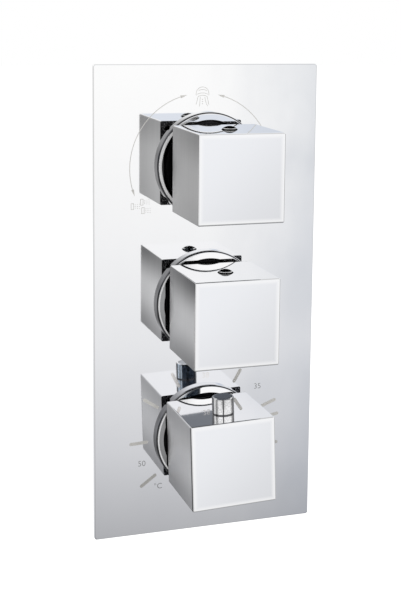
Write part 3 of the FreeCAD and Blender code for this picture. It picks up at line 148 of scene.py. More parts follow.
class MarkSizes(bpy.types.PropertyGroup):
    """Sizes and colours of the marks etched in the cover plate"""
    relief: length_field("Relief", "How far a mark stands off the plate", 0.03)
    stroke: length_field("Stroke", "Width of an arrow's line", 0.42)
    fine_stroke: length_field("Fine stroke", "Width of a pictogram's lines", 0.3)
    arrow_radius: length_field("Arrow radius", "Radius of the diverter's arrows", 43.4)
    arrow_start: angle_field("Arrow start", "Arrow tip's angle from the rose", 12.3)
    arrow_end: angle_field("Arrow end", "Other tip's angle from the rose", 111.5)
    head_length: length_field("Head length", "Length of an arrow's head", 4.2)
    head_width: length_field("Head width", "Width of an arrow's head", 1.7)
    drop_radius: length_field("Drop radius", "Radius of a body jet's drops", 0.24)
    bar_width: length_field("Bar width", "Width of a dial's bar", 2.0)
    digit_height: length_field("Digit height", "Height of the dial's figures", 3.4)
    colour: colour_field("Etch colour", "Colour of the etched marks", (0.8, 0.785, 0.75))
    figure_colour: colour_field("Figure colour", "Colour of the dial's figures", (0.42, 0.42, 0.42))
    faint_colour: colour_field("Faint colour", "Colour of the marks above the button", (0.88, 0.85, 0.83))


class ChromeFinish(bpy.types.PropertyGroup):
    """Tones of the polished chrome, and of the shades and highlights painted on it"""
    plate_tone: colour_field("Plate tone", "Colour of the plate's chrome at its top", (0.985, 0.985, 0.985))
    # painted shade: the colour that the plate's chrome greys and cools to at its foot
    plate_foot_shade: colour_field("Plate foot", "Colour of the plate's chrome at its foot", (0.77, 0.78, 0.82))
    # painted shade: the colour that the plate's right side greys and cools to
    plate_side_shade: colour_field("Plate side", "Colour that the plate's right side nears", (0.34, 0.385, 0.47))
    handle_tone: colour_field("Handle tone", "Colour of the handles' chrome", (0.88, 0.892, 0.925))
    # chrome of the collars, caps and button, and the painted highlight along a handle front's edges and on its top
    edge_tone: colour_field("Edge tone", "Colour along a front's buffed edges", (0.97, 0.97, 0.975))
    side_tone: colour_field("Side tone", "Colour of a handle's brushed side", (0.955, 0.955, 0.955))
    # painted shade on a handle's left side, standing for a dark reflection
    side_shade: colour_field("Side shade", "Colour that a handle's side darkens to", (0.03, 0.03, 0.035))
    # painted shade on a handle's underside, standing for a dark reflection
    underside_shade: colour_field("Under tone", "Colour of a handle's dull underside", (0.17, 0.19, 0.22))
    # painted shade in a handle's hollow
    hollow_shade: colour_field("Hollow tone", "Colour of a handle's blackened hollow", (0.02, 0.02, 0.022))
    rim_tone: colour_field("Rim tone", "Colour of a handle's raw back rim", (0.05, 0.05, 0.052))
    # colour of the button's index line and its joint with the handle, and of painted shade on a collar's corner
    # and dish and along the button's sides
    groove_and_shade_tone: colour_field("Groove tone", "Colour in a turned groove", (0.06, 0.06, 0.065))
    # painted shade on a cap's dome, standing for a dark reflection, and its dark outline at the foot
    cap_tone: colour_field("Cap tone", "Colour of a cap's dark dome", (0.015, 0.015, 0.015))
    roughness: share_field("Roughness", "Roughness of the polished chrome", 0.03)
    side_roughness: share_field("Side roughness", "Roughness of a handle's brushed side", 0.3)


class BrassFinish(bpy.types.PropertyGroup):
    """Tones of the brass pieces"""
    cast_tone: colour_field("Cast tone", "Colour of the cast body", (0.62, 0.46, 0.2))
    turned_tone: colour_field("Turned tone", "Colour of turned brass", (0.75, 0.57, 0.26))
    nickel_tone: colour_field("Nickel tone", "Colour of nickelled brass", (0.3, 0.3, 0.31))
    grain: length_field("Grain", "Size of the casting's grain", 0.8)


class ThreadSizes(bpy.types.PropertyGroup):
    """Sizes of the threads cut in the ports"""
    pitch: length_field("Pitch", "Rise of a thread in one turn", 1.8)
    depth: length_field("Depth", "Depth of a thread", 0.9)
    runout: length_field("Runout", "Length of a port left without its thread", 2.4)
    segments: IntProperty(name="Segments", description="Steps in one turn of a thread",
                          default=48, min=12, max=96)


class StudioSet(bpy.types.PropertyGroup):
    """Floor and lamps"""
    floor_drop: length_field("Floor drop", "Floor below the plate's middle", 360)
    floor_reach: length_field("Floor reach", "Half the floor's width", 9000)
    floor_colour: colour_field("Floor colour", "Colour of the floor", (0.8, 0.8, 0.8))
    fill: FloatProperty(name="Fill", description="Level of the soft light all round",
                        default=0.8, min=0.0, max=2.0)
    key_power: power_field("Key power", "Power of the key lamp", 9.0)
    rim_power: power_field("Rim power", "Power of the lamp behind", 5.0)


# ---- node building ----
class Wire:
    """A socket of a node tree. Sums and products on it add Math nodes."""

    def __init__(self, nodes, socket):
        self.nodes, self.socket = nodes, socket

    def math(self, operation, *values):
        return self.nodes.node("ShaderNodeMath", dict(enumerate(values)), operation=operation)

    def root(self):
        return self.math("SQRT", self)

    def most(self, other):
        return self.math("MAXIMUM", self, other)

    def least(self, other):
        return self.math("MINIMUM", self, other)

    def __add__(self, other):
        return self.math("ADD", self, other)

    def __sub__(self, other):
        return self.math("SUBTRACT", self, other)

    def __rsub__(self, other):
        return self.math("SUBTRACT", other, self)

    def __mul__(self, other):
        return self.math("MULTIPLY", self, other)

    def __neg__(self):
        return self.math("MULTIPLY", self, -1.0)

    def __abs__(self):
        return self.math("ABSOLUTE", self)

    __radd__, __rmul__ = __add__, __mul__

    def ramp(self, low, high):
        """0 below low, 1 above high and smooth in between."""
        return self.nodes.node("ShaderNodeMapRange", {"Value": self, "From Min": low, "From Max": high},
                               interpolation_type="SMOOTHSTEP")

    def above(self, edge, soft=0.02 * MM):
        return self.ramp(edge - soft, edge + soft)

    def below(self, edge, soft=0.02 * MM):
        return 1 - self.above(edge, soft)

    def near(self, place, reach, soft=0.08 * MM):
        """1 within reach of a place, 0 further off."""
        return abs(self - place).below(reach, soft)


def distance(first, second):
    """How far off the centre of two coordinates a point lies."""
    return (first * first + second * second).root()


class Nodes:
    """A node tree to which nodes are added."""

    def __init__(self, tree):
        self.tree = tree

    def node(self, kind, values=None, out=0, **settings):
        """Adds a node, its settings first and then the values or links of its sockets."""
        made = self.tree.nodes.new(kind)
        for key, value in settings.items():
            if key == "stops":
                self.set_stops(made.color_ramp.elements, value)
            else:
                setattr(made, key, value)
        for key, value in (values or {}).items():
            self.feed(made.inputs[key], value)
        return Wire(self, made.outputs[out]) if made.outputs else made

    def feed(self, socket, value):
        if isinstance(value, Wire):
            self.tree.links.new(value.socket, socket)
        elif socket.type == "RGBA" and len(value) == 3:
            socket.default_value = (*value, 1)
        else:
            socket.default_value = value

    def set_stops(self, stops, rows):
        """Sets a colour ramp's stops to rows of a place and a grey or a colour."""
        stops[0].position, stops[1].position = rows[0][0], rows[-1][0]
        for place, _ in rows[1:-1]:
            stops.new(place)
        for stop, (_, tone) in zip(stops, rows):
            stop.color = (tone, tone, tone, 1) if isinstance(tone, float) else (*tone, 1)


class Shading(Nodes):
    """The node tree of a material or a world."""

    def __init__(self, owner):
        self.owner = owner
        owner.use_nodes = True
        super().__init__(owner.node_tree)
        self.tree.nodes.clear()

    def blend(self, factor, first, second):
        """A colour between two colours."""
        return self.node("ShaderNodeMix", {0: factor, 6: first, 7: second}, out=2, data_type="RGBA")

    def place(self, centre=(0, 0, 0), turn=(0, 0, 0)):
        """Object coordinates, centred and turned."""
        here = self.node("ShaderNodeTexCoord", out="Object")
        moved = self.node("ShaderNodeVectorMath", {0: here, 1: tuple(centre)}, operation="SUBTRACT")
        if not any(turn):
            return moved
        return self.node("ShaderNodeMapping", {"Vector": moved, "Rotation": turn})

    def parts(self, vector):
        """The x, y and z of a vector."""
        split = self.node("ShaderNodeSeparateXYZ", {0: vector}).socket.node
        return [Wire(self, out) for out in split.outputs]

    def noise(self, vector, size, detail=3.0, stretch=None):
        """Noise from 0 to 1 with features of about that size."""
        if stretch:
            vector = self.node("ShaderNodeVectorMath", {0: vector, 1: stretch}, operation="MULTIPLY")
        return self.node("ShaderNodeTexNoise", {
            "Vector": vector, "Scale": 1 / size, "Detail": detail, "Roughness": 0.55})

    def bump(self, height, reach, strength=1.0, normal=None):
        values = {"Height": height, "Distance": reach, "Strength": strength}
        if normal:
            values["Normal"] = normal
        return self.node("ShaderNodeBump", values)

    def surface(self, **values):
        """Ends the material in a Principled shader."""
        named = {key.replace("_", " "): value for key, value in values.items()}
        shader = self.node("ShaderNodeBsdfPrincipled", named)
        self.node("ShaderNodeOutputMaterial", {"Surface": shader})
        return self.owner


def new_material(name):
    """A material's node tree, and the object coordinates that its patterns follow."""
    shade = Shading(bpy.data.materials.new(name))
    return shade, shade.place()


# ---- the front's chrome ----
SKIN, SKIN_SOFT = 0.35 * MM, 0.2 * MM    # how deep the finish of a handle's face reaches, and its soft end
# how the painted shade on a handle's left side, which stands for a dark reflection, darkens it: all over, upwards,
# downwards, towards its front and in a line along it
SIDE_SHADES = {"divert": (0.33, 0.25, 0.06, 0.14, 0.0), "flow": (0.02, 0.74, 0.5, 0.16, 0.3),
               "thermo": (0.0, 0.36, 0.36, 0.0, 0.92)}
# how far a handle's flat front seems to lean, in the shading alone
FRONT_LEANS = {"divert": 0.0, "flow": math.radians(2), "thermo": math.radians(4.5)}
# the painted shade on the left inner part of a collar's rim: its tone, and how far inside the edge it starts
RIM_SHADES = {"divert": (0.04, 2.7 * MM), "flow": (0.47, 1.9 * MM), "thermo": (0.47, 1.9 * MM)}
# how far inside its edge a cap's dome of painted shade ends, and how light the ring round the dome is
CAP_SHADES = {"divert": (0.9 * MM, 0.25), "flow": (1.1 * MM, 1.0)}
BUTTON_SHADE_TURN = math.radians(20)    # the turn about the button's axis, the camera's bearing, by which its painted dark side bands and painted back are set


class Chrome(Shading):
    """Polished chrome with faint smears and a faint waviness, over which other tones are painted, most of them
    painted shades and highlights.
    """

    def __init__(self, name, look, tone):
        super().__init__(bpy.data.materials.new(name))
        smear_size, wave_size, wave_height = 30 * MM, 45 * MM, 0.012 * MM
        here = self.place()
        smear = self.noise(here, smear_size, 2.0)
        self.colour = self.blend(smear * 0.5, tone, dimmed(tone, 0.97))
        self.rough = look.roughness + smear * 0.015
        self.normal = self.bump(self.noise(here, wave_size, 1.0), wave_height, 0.5)

    def paint(self, mask, tone):
        """Lays a tone over the chrome where the mask is 1."""
        self.colour = self.blend(mask, self.colour, tone)

    def end(self, **values):
        """Ends the material, as metal and polished but for the given values."""
        return self.surface(**{"Base_Color": self.colour, "Metallic": 1.0, "Roughness": self.rough,
                               "Normal": self.normal, **values})


def plate_chrome(look):
    """Polished plate with painted shade that greys and cools it towards its foot and its right side, with soft
    clouds in that shade.
    """
    shade = Chrome("plate chrome", look, look.plate_tone)
    here = shade.place()
    across, _, up = shade.parts(here)
    cloud_size, cloud_shift = 38 * MM, 60 * MM
    cloud = shade.noise(here, cloud_size, 3.0, (1.0, 1.0, 0.6)) - 0.5
    # painted shade, stronger towards the plate's foot, its edge broken by the clouds
    foot = (-up).ramp(-150 * MM, 165 * MM) + cloud * 0.2
    shade.paint(foot, look.plate_foot_shade)
    # painted shade towards the plate's right side, deeper in a band high up and lighter in a band just below the
    # middle
    side = (across + cloud * cloud_shift).ramp(-12 * MM, 92 * MM) * 0.38
    deeper_shade, lighter_shade = up.near(85 * MM, 12 * MM, 22 * MM), up.near(-28 * MM, 10 * MM, 22 * MM)
    shade.paint(side * (1 + deeper_shade * 0.4 - lighter_shade * 0.4), look.plate_side_shade)
    return shade.end()


def painted_side_shade(shade, station, own, half):
    """How dark the painted shade on a handle's brushed left side is, from 0 to 1, with fine upright streaks."""
    overall, upper, lower, forward, line = SIDE_SHADES[station]
    _, out, up = shade.parts(own)
    bright_half = 2 * MM
    shadow = up.ramp(bright_half, half) * upper + (-up).ramp(bright_half, half) * lower
    shadow = shadow + (-out).ramp(-half, half) * forward + overall
    streak = shade.noise(own, 1.6 * MM, 2.0, (1.0, 1.0, 0.04)) - 0.5
    front_line = out.below(1.5 * MM - half, 0.3 * MM) * line
    return (shadow.most(front_line) + streak * 0.1).least(1.0)


def handle_chrome(look, station):
    """A handle: polished, with a painted highlight along its front's edges and on its top, painted shade across
    its front, its left side brushed with painted shade on it, painted shade on its underside and in its hollow
    inside a raw rim."""
    shade = Chrome(station + " handle chrome", look, look.handle_tone)
    low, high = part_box(station + "_handle")
    half = (high.y - low.y) / 2
    own = shade.place((low + high) / 2, (0, THERMO_TILT if station == "thermo" else 0.0, 0))
    across, out, up = shade.parts(own)
    front, side, under = [way.below(SKIN - half, SKIN_SOFT) for way in (out, across, up)]
    top = up.above(half - SKIN, SKIN_SOFT)
    spread = abs(across).most(abs(up))

    # painted shade across the front, darker towards its lower right
    painted_front_shade = (across - up).ramp(-40 * MM, 60 * MM) * front
    shade.paint(painted_front_shade * 0.9, dimmed(look.handle_tone, 0.82))
    # painted highlight along the front's edges, and the top painted lighter
    highlighted = spread.ramp(half - 3.6 * MM, half - 0.8 * MM) * front
    shade.paint((highlighted * 0.75).most(top), look.edge_tone)
    shade.paint(side, look.side_tone)
    # painted shade on the left side, standing for a dark reflection
    shade.paint(side * painted_side_shade(shade, station, own, half), look.side_shade)
    # painted shade on the underside, standing for a dark reflection
    shade.paint(under, look.underside_shade)

    # the hollow gets painted shade; the back rim is dark with light grit; both are rough and gritty
    wall, front_wall, rim_depth = 1.8 * MM, 2.0 * MM, 0.12 * MM
    hollow = spread.below(half - wall, 0.3 * MM) * out.above(front_wall - half, 0.3 * MM)
    rim = out.above(half - rim_depth, 0.05 * MM)
    raw = hollow.most(rim)
    grit = shade.noise(own, 0.9 * MM, 5.0)
    hollow_shade_and_rim_tone = shade.blend(rim, look.hollow_shade, look.rim_tone)
    hollow_shade_and_rim_tone = shade.blend(grit.ramp(0.56, 0.66) * rim, hollow_shade_and_rim_tone, (0.55, 0.55, 0.56))
    shade.paint(raw, hollow_shade_and_rim_tone)
    grit_height = 0.2 * MM
    height = up * -math.tan(FRONT_LEANS[station]) + grit * raw * grit_height
    return shade.end(Roughness=shade.rough + side * look.side_roughness + raw * 0.5,
                     Normal=shade.bump(height, 1.0, 1.0, shade.normal))


def collar_chrome(look, station):
    """A collar: a rim with painted shade inside on its left and a light matt line beside that shade, a wall with
    painted shade on its left and a turned line, and painted shade on its outer corner and in its dish."""
    shade = Chrome(station + " collar chrome", look, look.edge_tone)
    low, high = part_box(station + "_collar")
    edge = (high.x - low.x) / 2
    across, out, up = shade.parts(shade.place((0, PLATE_FRONT, STATIONS[station])))
    radius = distance(across, up)
    # painted shade inside the rim, on its left
    left = (-across).ramp(6 * MM, 24 * MM)
    rim_shade, start = RIM_SHADES[station]
    inner = radius.below(edge - start, 0.25 * MM) * left
    shade.paint(inner, dimmed((1.0, 1.01, 1.02), rim_shade))
    # a band just outside the painted shade, made matt at the end so that it shows light, standing in for a
    # highlight
    fillet = 1.15 * MM
    highlighted = radius.near(edge - (fillet + start) / 2, (start - fillet) / 2, 0.15 * MM) * left

    # the wall: painted shade on its left, light on its right, with a turned line
    wall = radius.above(edge - 0.3 * MM, 0.12 * MM)
    wall_tone = shade.blend(left, (0.92, 0.93, 0.95), (0.2, 0.2, 0.21))
    turned_line = out.near(-1.5 * MM, 0.3 * MM, 0.3 * MM)
    shade.paint(wall, shade.blend(turned_line * 0.3, wall_tone, (0.5, 0.5, 0.5)))
    # painted shade on the front's outer corner and in the dish
    corner = radius.near(edge - 0.6 * MM, 0.36 * MM, 0.1 * MM) * out.below(-2.7 * MM)
    dish = radius.below(edge - 4.7 * MM, 0.15 * MM) * out.below(0.2 * MM)
    shade.paint(corner.most(dish), look.groove_and_shade_tone)
    return shade.end(Metallic=1 - highlighted * 0.85, Roughness=shade.rough + dish * 0.25 + highlighted * 0.3)


def cap_chrome(look, station):
    """A grub screw's cap: a dome of painted shade standing for a dark reflection, with a glint left unpainted,
    inside a lighter matt ring, outlined dark at its foot.
    """
    shade = Chrome(station + " cap chrome", look, look.edge_tone)
    low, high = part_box(station + "_cap")
    across, out, _ = shade.parts(shade.place((low + high) / 2))
    radius, edge = distance(across, out), (high.x - low.x) / 2
    # a spot left out of the painted shade, where the chrome shows as a glint
    glint = distance(across + 1.5 * MM, out - 0.4 * MM).below(0.45 * MM, 0.2 * MM)
    margin, light = CAP_SHADES[station]
    # painted shade on the dome, standing for a dark reflection
    dome = radius.below(edge - margin, 0.12 * MM) * (1 - glint)
    ring = radius.near(edge - 0.85 * MM, 0.22 * MM, 0.1 * MM) * out.below(-0.5 * MM, 0.5 * MM) * light
    foot = radius.above(edge - 0.6 * MM, 0.12 * MM)
    shade.paint(dome.most(foot), look.cap_tone)
    return shade.end(Metallic=1 - ring * 0.8, Roughness=shade.rough + ring * 0.2,
                     Specular_Tint=(0.1, 0.1, 0.1))


def button_chrome(look):
    """The safety button: brushed, with painted shade along its sides, an index line, painted shade on its top
    inside a bright rim, and a back painted mostly dark as a reflection."""
    shade = Chrome("button chrome", look, look.edge_tone)
    low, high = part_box("safety_button")
    own = shade.place(((low.x + high.x) / 2, (low.y + high.y) / 2, high.z), (0, THERMO_TILT, 0))
    across, out, up = shade.parts(own)
    speck = shade.noise(own, 0.7 * MM, 4.0)
    shade.paint(speck.ramp(0.42, 0.66) * 0.5, (0.45, 0.45, 0.46))

    turned_in, turned_out = math.cos(BUTTON_SHADE_TURN), math.sin(BUTTON_SHADE_TURN)
    ahead, behind = across * turned_in - out * turned_out, across * turned_in + out * turned_out
    # painted shade along the sides, standing for a dark reflection, with the index line
    bands = abs(ahead).ramp(4.6 * MM, 5.7 * MM)
    index = across.near(-2.0 * MM, 0.3 * MM)
    shade.paint(bands.most(index), look.groove_and_shade_tone)
    # the back painted mostly dark, with a light gleam, as a reflection
    gleam = behind.near(-3.9 * MM, 1.2 * MM, 0.5 * MM)
    back_tone = shade.blend(gleam, (0.02, 0.028, 0.04), (0.72, 0.82, 0.92))
    back_tone = shade.blend(speck.ramp(0.5, 0.7) * 0.15, back_tone, (0.5, 0.55, 0.6))
    shade.paint(out.above(0.5 * MM, 0.8 * MM), back_tone)
    handle_joint = up.near(-9.65 * MM, 0.3 * MM)
    shade.paint(handle_joint, look.groove_and_shade_tone)

    # the top: clean chrome at its rim, painted shade inside it and a dark crescent of painted shade
    radius, lid = distance(across, out), up.above(-0.3 * MM)
    shade.paint(lid, look.edge_tone)
    shade.paint(radius.below(5.3 * MM, 0.15 * MM) * lid, (0.34, 0.36, 0.39))
    crescent = radius.near(4.9 * MM, 0.35 * MM) * out.below(-1.0 * MM, 0.6 * MM) * lid
    shade.paint(crescent, (0.02, 0.02, 0.02))
    return shade.end(Roughness=shade.rough + (1 - lid) * 0.22)


# ---- other finishes ----
def etched(name, tone):
    """Matt etching in the chrome, slightly uneven, with painted shade darker towards the plate's foot, and faint
    above the safety button, where the etch is shallow."""
    shade, here = new_material(name)
    across, _, up = shade.parts(here)
    # painted shade, darker towards the plate's foot
    tone = shade.blend((-up).ramp(60 * MM, 120 * MM), tone, dimmed(tone, 0.55))
    shallow = across.near(-11 * MM, 16 * MM, 3 * MM) * up.near(-45 * MM, 11 * MM, 3 * MM)
    tone = shade.blend(shallow, tone, bpy.context.scene.valve_marks.faint_colour)
    cloud, frost = shade.noise(here, 2.5 * MM, 4.0), shade.noise(here, 0.12 * MM, 2.0)
    return shade.surface(
        Base_Color=shade.blend(cloud * 0.12, tone, (0.1, 0.1, 0.1)), Metallic=0.25 + shallow * 0.75,
        Roughness=0.55 + frost * 0.15 - shallow * 0.4, Normal=shade.bump(frost, 0.02 * MM, 0.4))


def cast_brass(name, tone, grain):
    """Shot-blasted casting: grainy, with darker pits and tarnished hollows."""
    shade, here = new_material(name)
    pit_size, tarnish_size = 2.2 * MM, 22 * MM
    fine, wide = shade.noise(here, grain, 5.0), shade.noise(here, tarnish_size, 3.0)
    pits = shade.node("ShaderNodeTexVoronoi", {"Vector": here, "Scale": 1 / pit_size}, feature="F1")
    pit = pits.below(0.16, 0.08)
    colour = shade.blend(fine * 0.5 + wide * 0.4, tone, dimmed(tone, 0.62))
    colour = shade.blend(pit * 0.5, colour, (0.12, 0.08, 0.04))
    height = fine * 0.7 - pit * 0.5 + wide * 0.3
    return shade.surface(Base_Color=colour, Metallic=0.85, Roughness=0.42 + fine * 0.25,
                         Normal=shade.bump(height, 0.35 * MM, 0.6))


def turned_metal(name, tone, axis, roughness=0.2):
    """Lathe-turned metal with fine tool rings across its axis, 0 for x to 2 for z."""
    shade, here = new_material(name)
    stretch = tuple(1.0 if part == axis else 0.02 for part in range(3))
    rings, tarnish = shade.noise(here, 0.35 * MM, 3.0, stretch), shade.noise(here, 9 * MM, 3.0)
    return shade.surface(
        Base_Color=shade.blend(tarnish * 0.45, tone, dimmed(tone, 0.72)), Metallic=1.0,
        Roughness=roughness + rings * 0.12 + tarnish * 0.08, Normal=shade.bump(rings, 0.04 * MM, 0.5))


def bright_steel(name):
    """Steel of springs, screws and strainers."""
    return turned_metal(name, (0.6, 0.6, 0.61), 1, 0.22)


# moulded finishes by slot: name, tone, roughness, and where they differ, coat, grain's size and height
MOULDED = {
    "polymer": ("white polymer", (0.78, 0.78, 0.75), 0.42),
    "stop_polymer": ("black polymer", (0.03, 0.03, 0.032), 0.4),
    "ceramic": ("lapped ceramic", (0.86, 0.84, 0.8), 0.18, 0.3),
    "rubber": ("black rubber", (0.022, 0.022, 0.022), 0.55),
    "foam": ("closed-cell foam", (0.09, 0.09, 0.1), 0.85, 0.0, 0.9 * MM, 0.25 * MM),
    "fibre": ("red fibre", (0.36, 0.07, 0.05), 0.7),
}


def moulded(name, tone, roughness, coat=0.0, grain=0.5 * MM, relief=0.02 * MM):
    """Moulded polymer, rubber, ceramic, fibre or foam with its own fine grain."""
    shade, here = new_material(name)
    fine, wide = shade.noise(here, grain, 3.0), shade.noise(here, 12 * MM, 2.0)
    return shade.surface(
        Base_Color=shade.blend(wide * 0.4 + fine * 0.2, tone, dimmed(tone, 0.85)), Metallic=0.0,
        Roughness=roughness + fine * 0.1, Coat_Weight=coat, Normal=shade.bump(fine, relief, 0.6))


def etch_material():
    name = "etched marks"
    return bpy.data.materials.get(name) or etched(name, bpy.context.scene.valve_marks.colour)


# ---- mesh making ----
def add_object(name, data):
    """A new object in the scene, at the origin."""
    made = bpy.data.objects.new(name, data)
    bpy.context.collection.objects.link(made)
    return made


def finish_piece(mesh, name, body, material):
    """Makes a mesh a piece that rides on a body, or on none."""
    piece = add_object(name, mesh)
    mesh.materials.clear()
    mesh.materials.append(material)
    if body:
        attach(piece, body)
    return piece


def finish_mark(mesh, name, material=None):
    """Makes a mesh a mark on the cover plate."""
    return finish_piece(mesh, name, "casting", material or etch_material())


class Etching:
    """Flat shapes on the plate's front face, as (right, up) points about a centre."""

    def __init__(self, centre):
        self.centre, self.shapes = centre, []

    def fill(self, points):
        self.shapes.append(list(points))

    def line(self, points, width, closed=False):
        """A line of that width through the points."""
        sharpest = 0.5    # the cosine past which a corner's mitre grows no longer
        points = [Vector(point) for point in points]
        count = len(points)
        edges = []
        for at, point in enumerate(points):
            before = points[at - 1] if at or closed else None
            after = points[(at + 1) % count] if at < count - 1 or closed else None
            ways = [(b - a).normalized() for a, b in ((before, point), (point, after))
                    if a is not None and b is not None]
            way = sum(ways, Vector((0, 0))).normalized()
            side = Vector((-way.y, way.x)) * width / 2 / max(sharpest, way.dot(ways[0]))
            edges.append((point + side, point - side))
        for at in range(count if closed else count - 1):
            (a, b), (c, d) = edges[at], edges[(at + 1) % count]
            self.fill((a, b, d, c))

    def dot(self, at, radius, sides=10):
        self.fill([(at[0] + radius * math.cos(turn), at[1] + radius * math.sin(turn))
                   for turn in (2 * math.pi * step / sides for step in range(sides))])

    def finish(self, name):
        """Raises the shapes off the plate and makes them one mark."""
        form = bmesh.new()
        for shape in self.shapes:
            corners = [form.verts.new((self.centre[0] + point[0], PLATE_FRONT, self.centre[1] + point[1]))
                       for point in shape]
            form.faces.new(corners)
        bmesh.ops.remove_doubles(form, verts=form.verts, dist=1e-7)
        raised = bmesh.ops.extrude_face_region(form, geom=form.faces[:])["geom"]
        bmesh.ops.translate(form, vec=(0, -bpy.context.scene.valve_marks.relief, 0),
                            verts=[part for part in raised if isinstance(part, bmesh.types.BMVert)])
        bmesh.ops.recalc_face_normals(form, faces=form.faces)
        finish_mark(mesh_of(form, name), name)


def mesh_of(form, name):
    made = bpy.data.meshes.new(name)
    form.to_mesh(made)
    form.free()
    return made


def clock(angle, radius):
    """(right, up) of a point at an angle clockwise from the top."""
    return radius * math.sin(angle), radius * math.cos(angle)


def arc(across, tall, lift, start, stop, steps=16):
    """Points on an oval of those half sizes, anticlockwise from the right, in degrees."""
    turns = [math.radians(start + (stop - start) * step / steps) for step in range(steps + 1)]
    return [(across * math.cos(turn), lift + tall * math.sin(turn)) for turn in turns]


def text_mesh(words, height, centre, relief):
    """Figures on the plate's front, upright, about a centre in (right, up)."""
    capital_share, thinning = 0.7, 0.012    # a capital's height and a stroke's loss, as shares of the size
    letters = bpy.data.curves.new(words, "FONT")
    letters.body, letters.align_x, letters.align_y = words, "CENTER", "CENTER"
    letters.size, letters.extrude, letters.resolution_u = height / capital_share, relief / 2, 4
    letters.offset = -thinning * height
    writer = add_object(words, letters)
    made = bpy.data.meshes.new_from_object(writer)
    bpy.data.objects.remove(writer)
    made.transform(Matrix.Translation((centre[0], PLATE_FRONT - relief / 2, centre[1]))
                   @ Matrix.Rotation(math.radians(90), 4, "X"))
    return made


# ---- node geometry ----
class Growth(Nodes):
    """A geometry node tree with named inputs."""

    def __init__(self, name, **inputs):
        super().__init__(bpy.data.node_groups.new(name, "GeometryNodeTree"))
        face = self.tree.interface
        for way in ("INPUT", "OUTPUT"):
            face.new_socket("Geometry", in_out=way, socket_type="NodeSocketGeometry")
        made = {label: face.new_socket(label, in_out="INPUT", socket_type="NodeSocket" + kind)
                for label, kind in inputs.items()}
        self.keys = {label: socket.identifier for label, socket in made.items()}
        self.start = self.tree.nodes.new("NodeGroupInput")

    def given(self, label):
        return Wire(self, self.start.outputs[label])

    def end(self, geometry, material=None):
        if material is not None:
            geometry = self.node("GeometryNodeRealizeInstances", {0: geometry})
            geometry = self.node("GeometryNodeSetMaterial", {0: geometry, "Material": material})
        self.node("NodeGroupOutput", {0: geometry})

    def attach(self, piece, **values):
        """Puts the tree on an object, its inputs set by their identifiers."""
        modifier = piece.modifiers.new(self.tree.name, "NODES")
        modifier.node_group = self.tree
        for label, value in values.items():
            modifier[self.keys[label]] = value
        return modifier

    def grown(self, name, places=(), **values):
        """The plain mesh that the tree makes, at some points where it needs them."""
        seed = add_object(name, bpy.data.meshes.new(name))
        seed.data.from_pydata(places, [], [])
        modifier = self.attach(seed, **values)
        bpy.context.view_layer.update()
        made = bpy.data.meshes.new_from_object(seed.evaluated_get(bpy.context.evaluated_depsgraph_get()))
        seed.modifiers.remove(modifier)
        bpy.data.objects.remove(seed)
        return made


@cache
def smoothing_tree():
    """Joins a node's loose facets and shades them smooth up to an angle."""
    grow = Growth("Smooth facets", Angle="Float", Join="Float")
    joined = grow.node("GeometryNodeMergeByDistance", {
        "Geometry": grow.given("Geometry"), "Distance": grow.given("Join")})
    rounded = grow.node("GeometryNodeSetShadeSmooth", {"Geometry": joined, "Shade Smooth": True},
                        domain="FACE")
    angle = grow.node("GeometryNodeInputMeshEdgeAngle")
    sharp = angle.math("GREATER_THAN", angle, grow.given("Angle"))
    creased = grow.node("GeometryNodeSetShadeSmooth", {
        "Geometry": rounded, "Selection": sharp, "Shade Smooth": False}, domain="EDGE")
    grow.end(creased)
    return grow


def drop_tree(material):
    """A small round disc on the plate's front at each point."""
    grow = Growth("Drops", Radius="Float", Relief="Float")
    disc = grow.node("GeometryNodeMeshCylinder", {
        "Vertices": 8, "Radius": grow.given("Radius"), "Depth": grow.given("Relief")})
    turned = grow.node("GeometryNodeTransform", {
        "Geometry": disc, "Rotation": (math.radians(90), 0, 0)})
    points = grow.node("GeometryNodeMeshToPoints", {"Mesh": grow.given("Geometry")})
    copies = grow.node("GeometryNodeInstanceOnPoints", {"Points": points, "Instance": turned})
    grow.end(copies, material)
    return grow


def thread_tree(material):
    """A ridge swept along a spiral, from z 0 up to the length."""
    grow = Growth("Thread", Radius="Float", Length="Float", Turns="Float",
                  Depth="Float", Pitch="Float", Steps="Int")
    path = grow.node("GeometryNodeCurveSpiral", {
        "Resolution": grow.given("Steps"), "Rotations": grow.given("Turns"),
        "Start Radius": grow.given("Radius"), "End Radius": grow.given("Radius"),
        "Height": grow.given("Length")})
    ridge = grow.node("GeometryNodeCurvePrimitiveCircle", {"Resolution": 4, "Radius": 1.0}, mode="RADIUS")
    shape = grow.node("ShaderNodeCombineXYZ", {
        0: grow.given("Depth") * 0.5, 1: grow.given("Pitch") * 0.5, 2: 1.0})
    profile = grow.node("GeometryNodeTransform", {"Geometry": ridge, "Scale": shape})
    swept = grow.node("GeometryNodeCurveToMesh", {
        "Curve": path, "Profile Curve": profile, "Fill Caps": True})
    grow.end(swept, material)
    return grow


def smooth(piece):
    """Shades a piece smooth up to an angle; its own mesh stays."""
    crease, join = math.radians(32), 0.002 * MM
    smoothing_tree().attach(piece, Angle=crease, Join=join)
    weighted = piece.modifiers.new("Flat faces stay flat", "WEIGHTED_NORMAL")
    weighted.keep_sharp, weighted.weight = True, 100


def dress(nodes, material):
    """Gives CAD nodes a material and smooth shading."""
    for node in nodes:
        NODES[node].data.materials.clear()
        NODES[node].data.materials.append(material)
        smooth(NODES[node])


def in_slot(slot):
    return [node for node in sorted(SLOTS) if SLOTS[node] == slot]


def spring_piece(node, body, wire):
    """A copy of a spring that stands for the node."""
    piece = finish_piece(NODES[node].data.copy(), node + "_wire", body, wire)
    smooth(piece)
    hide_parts(node)
    return piece


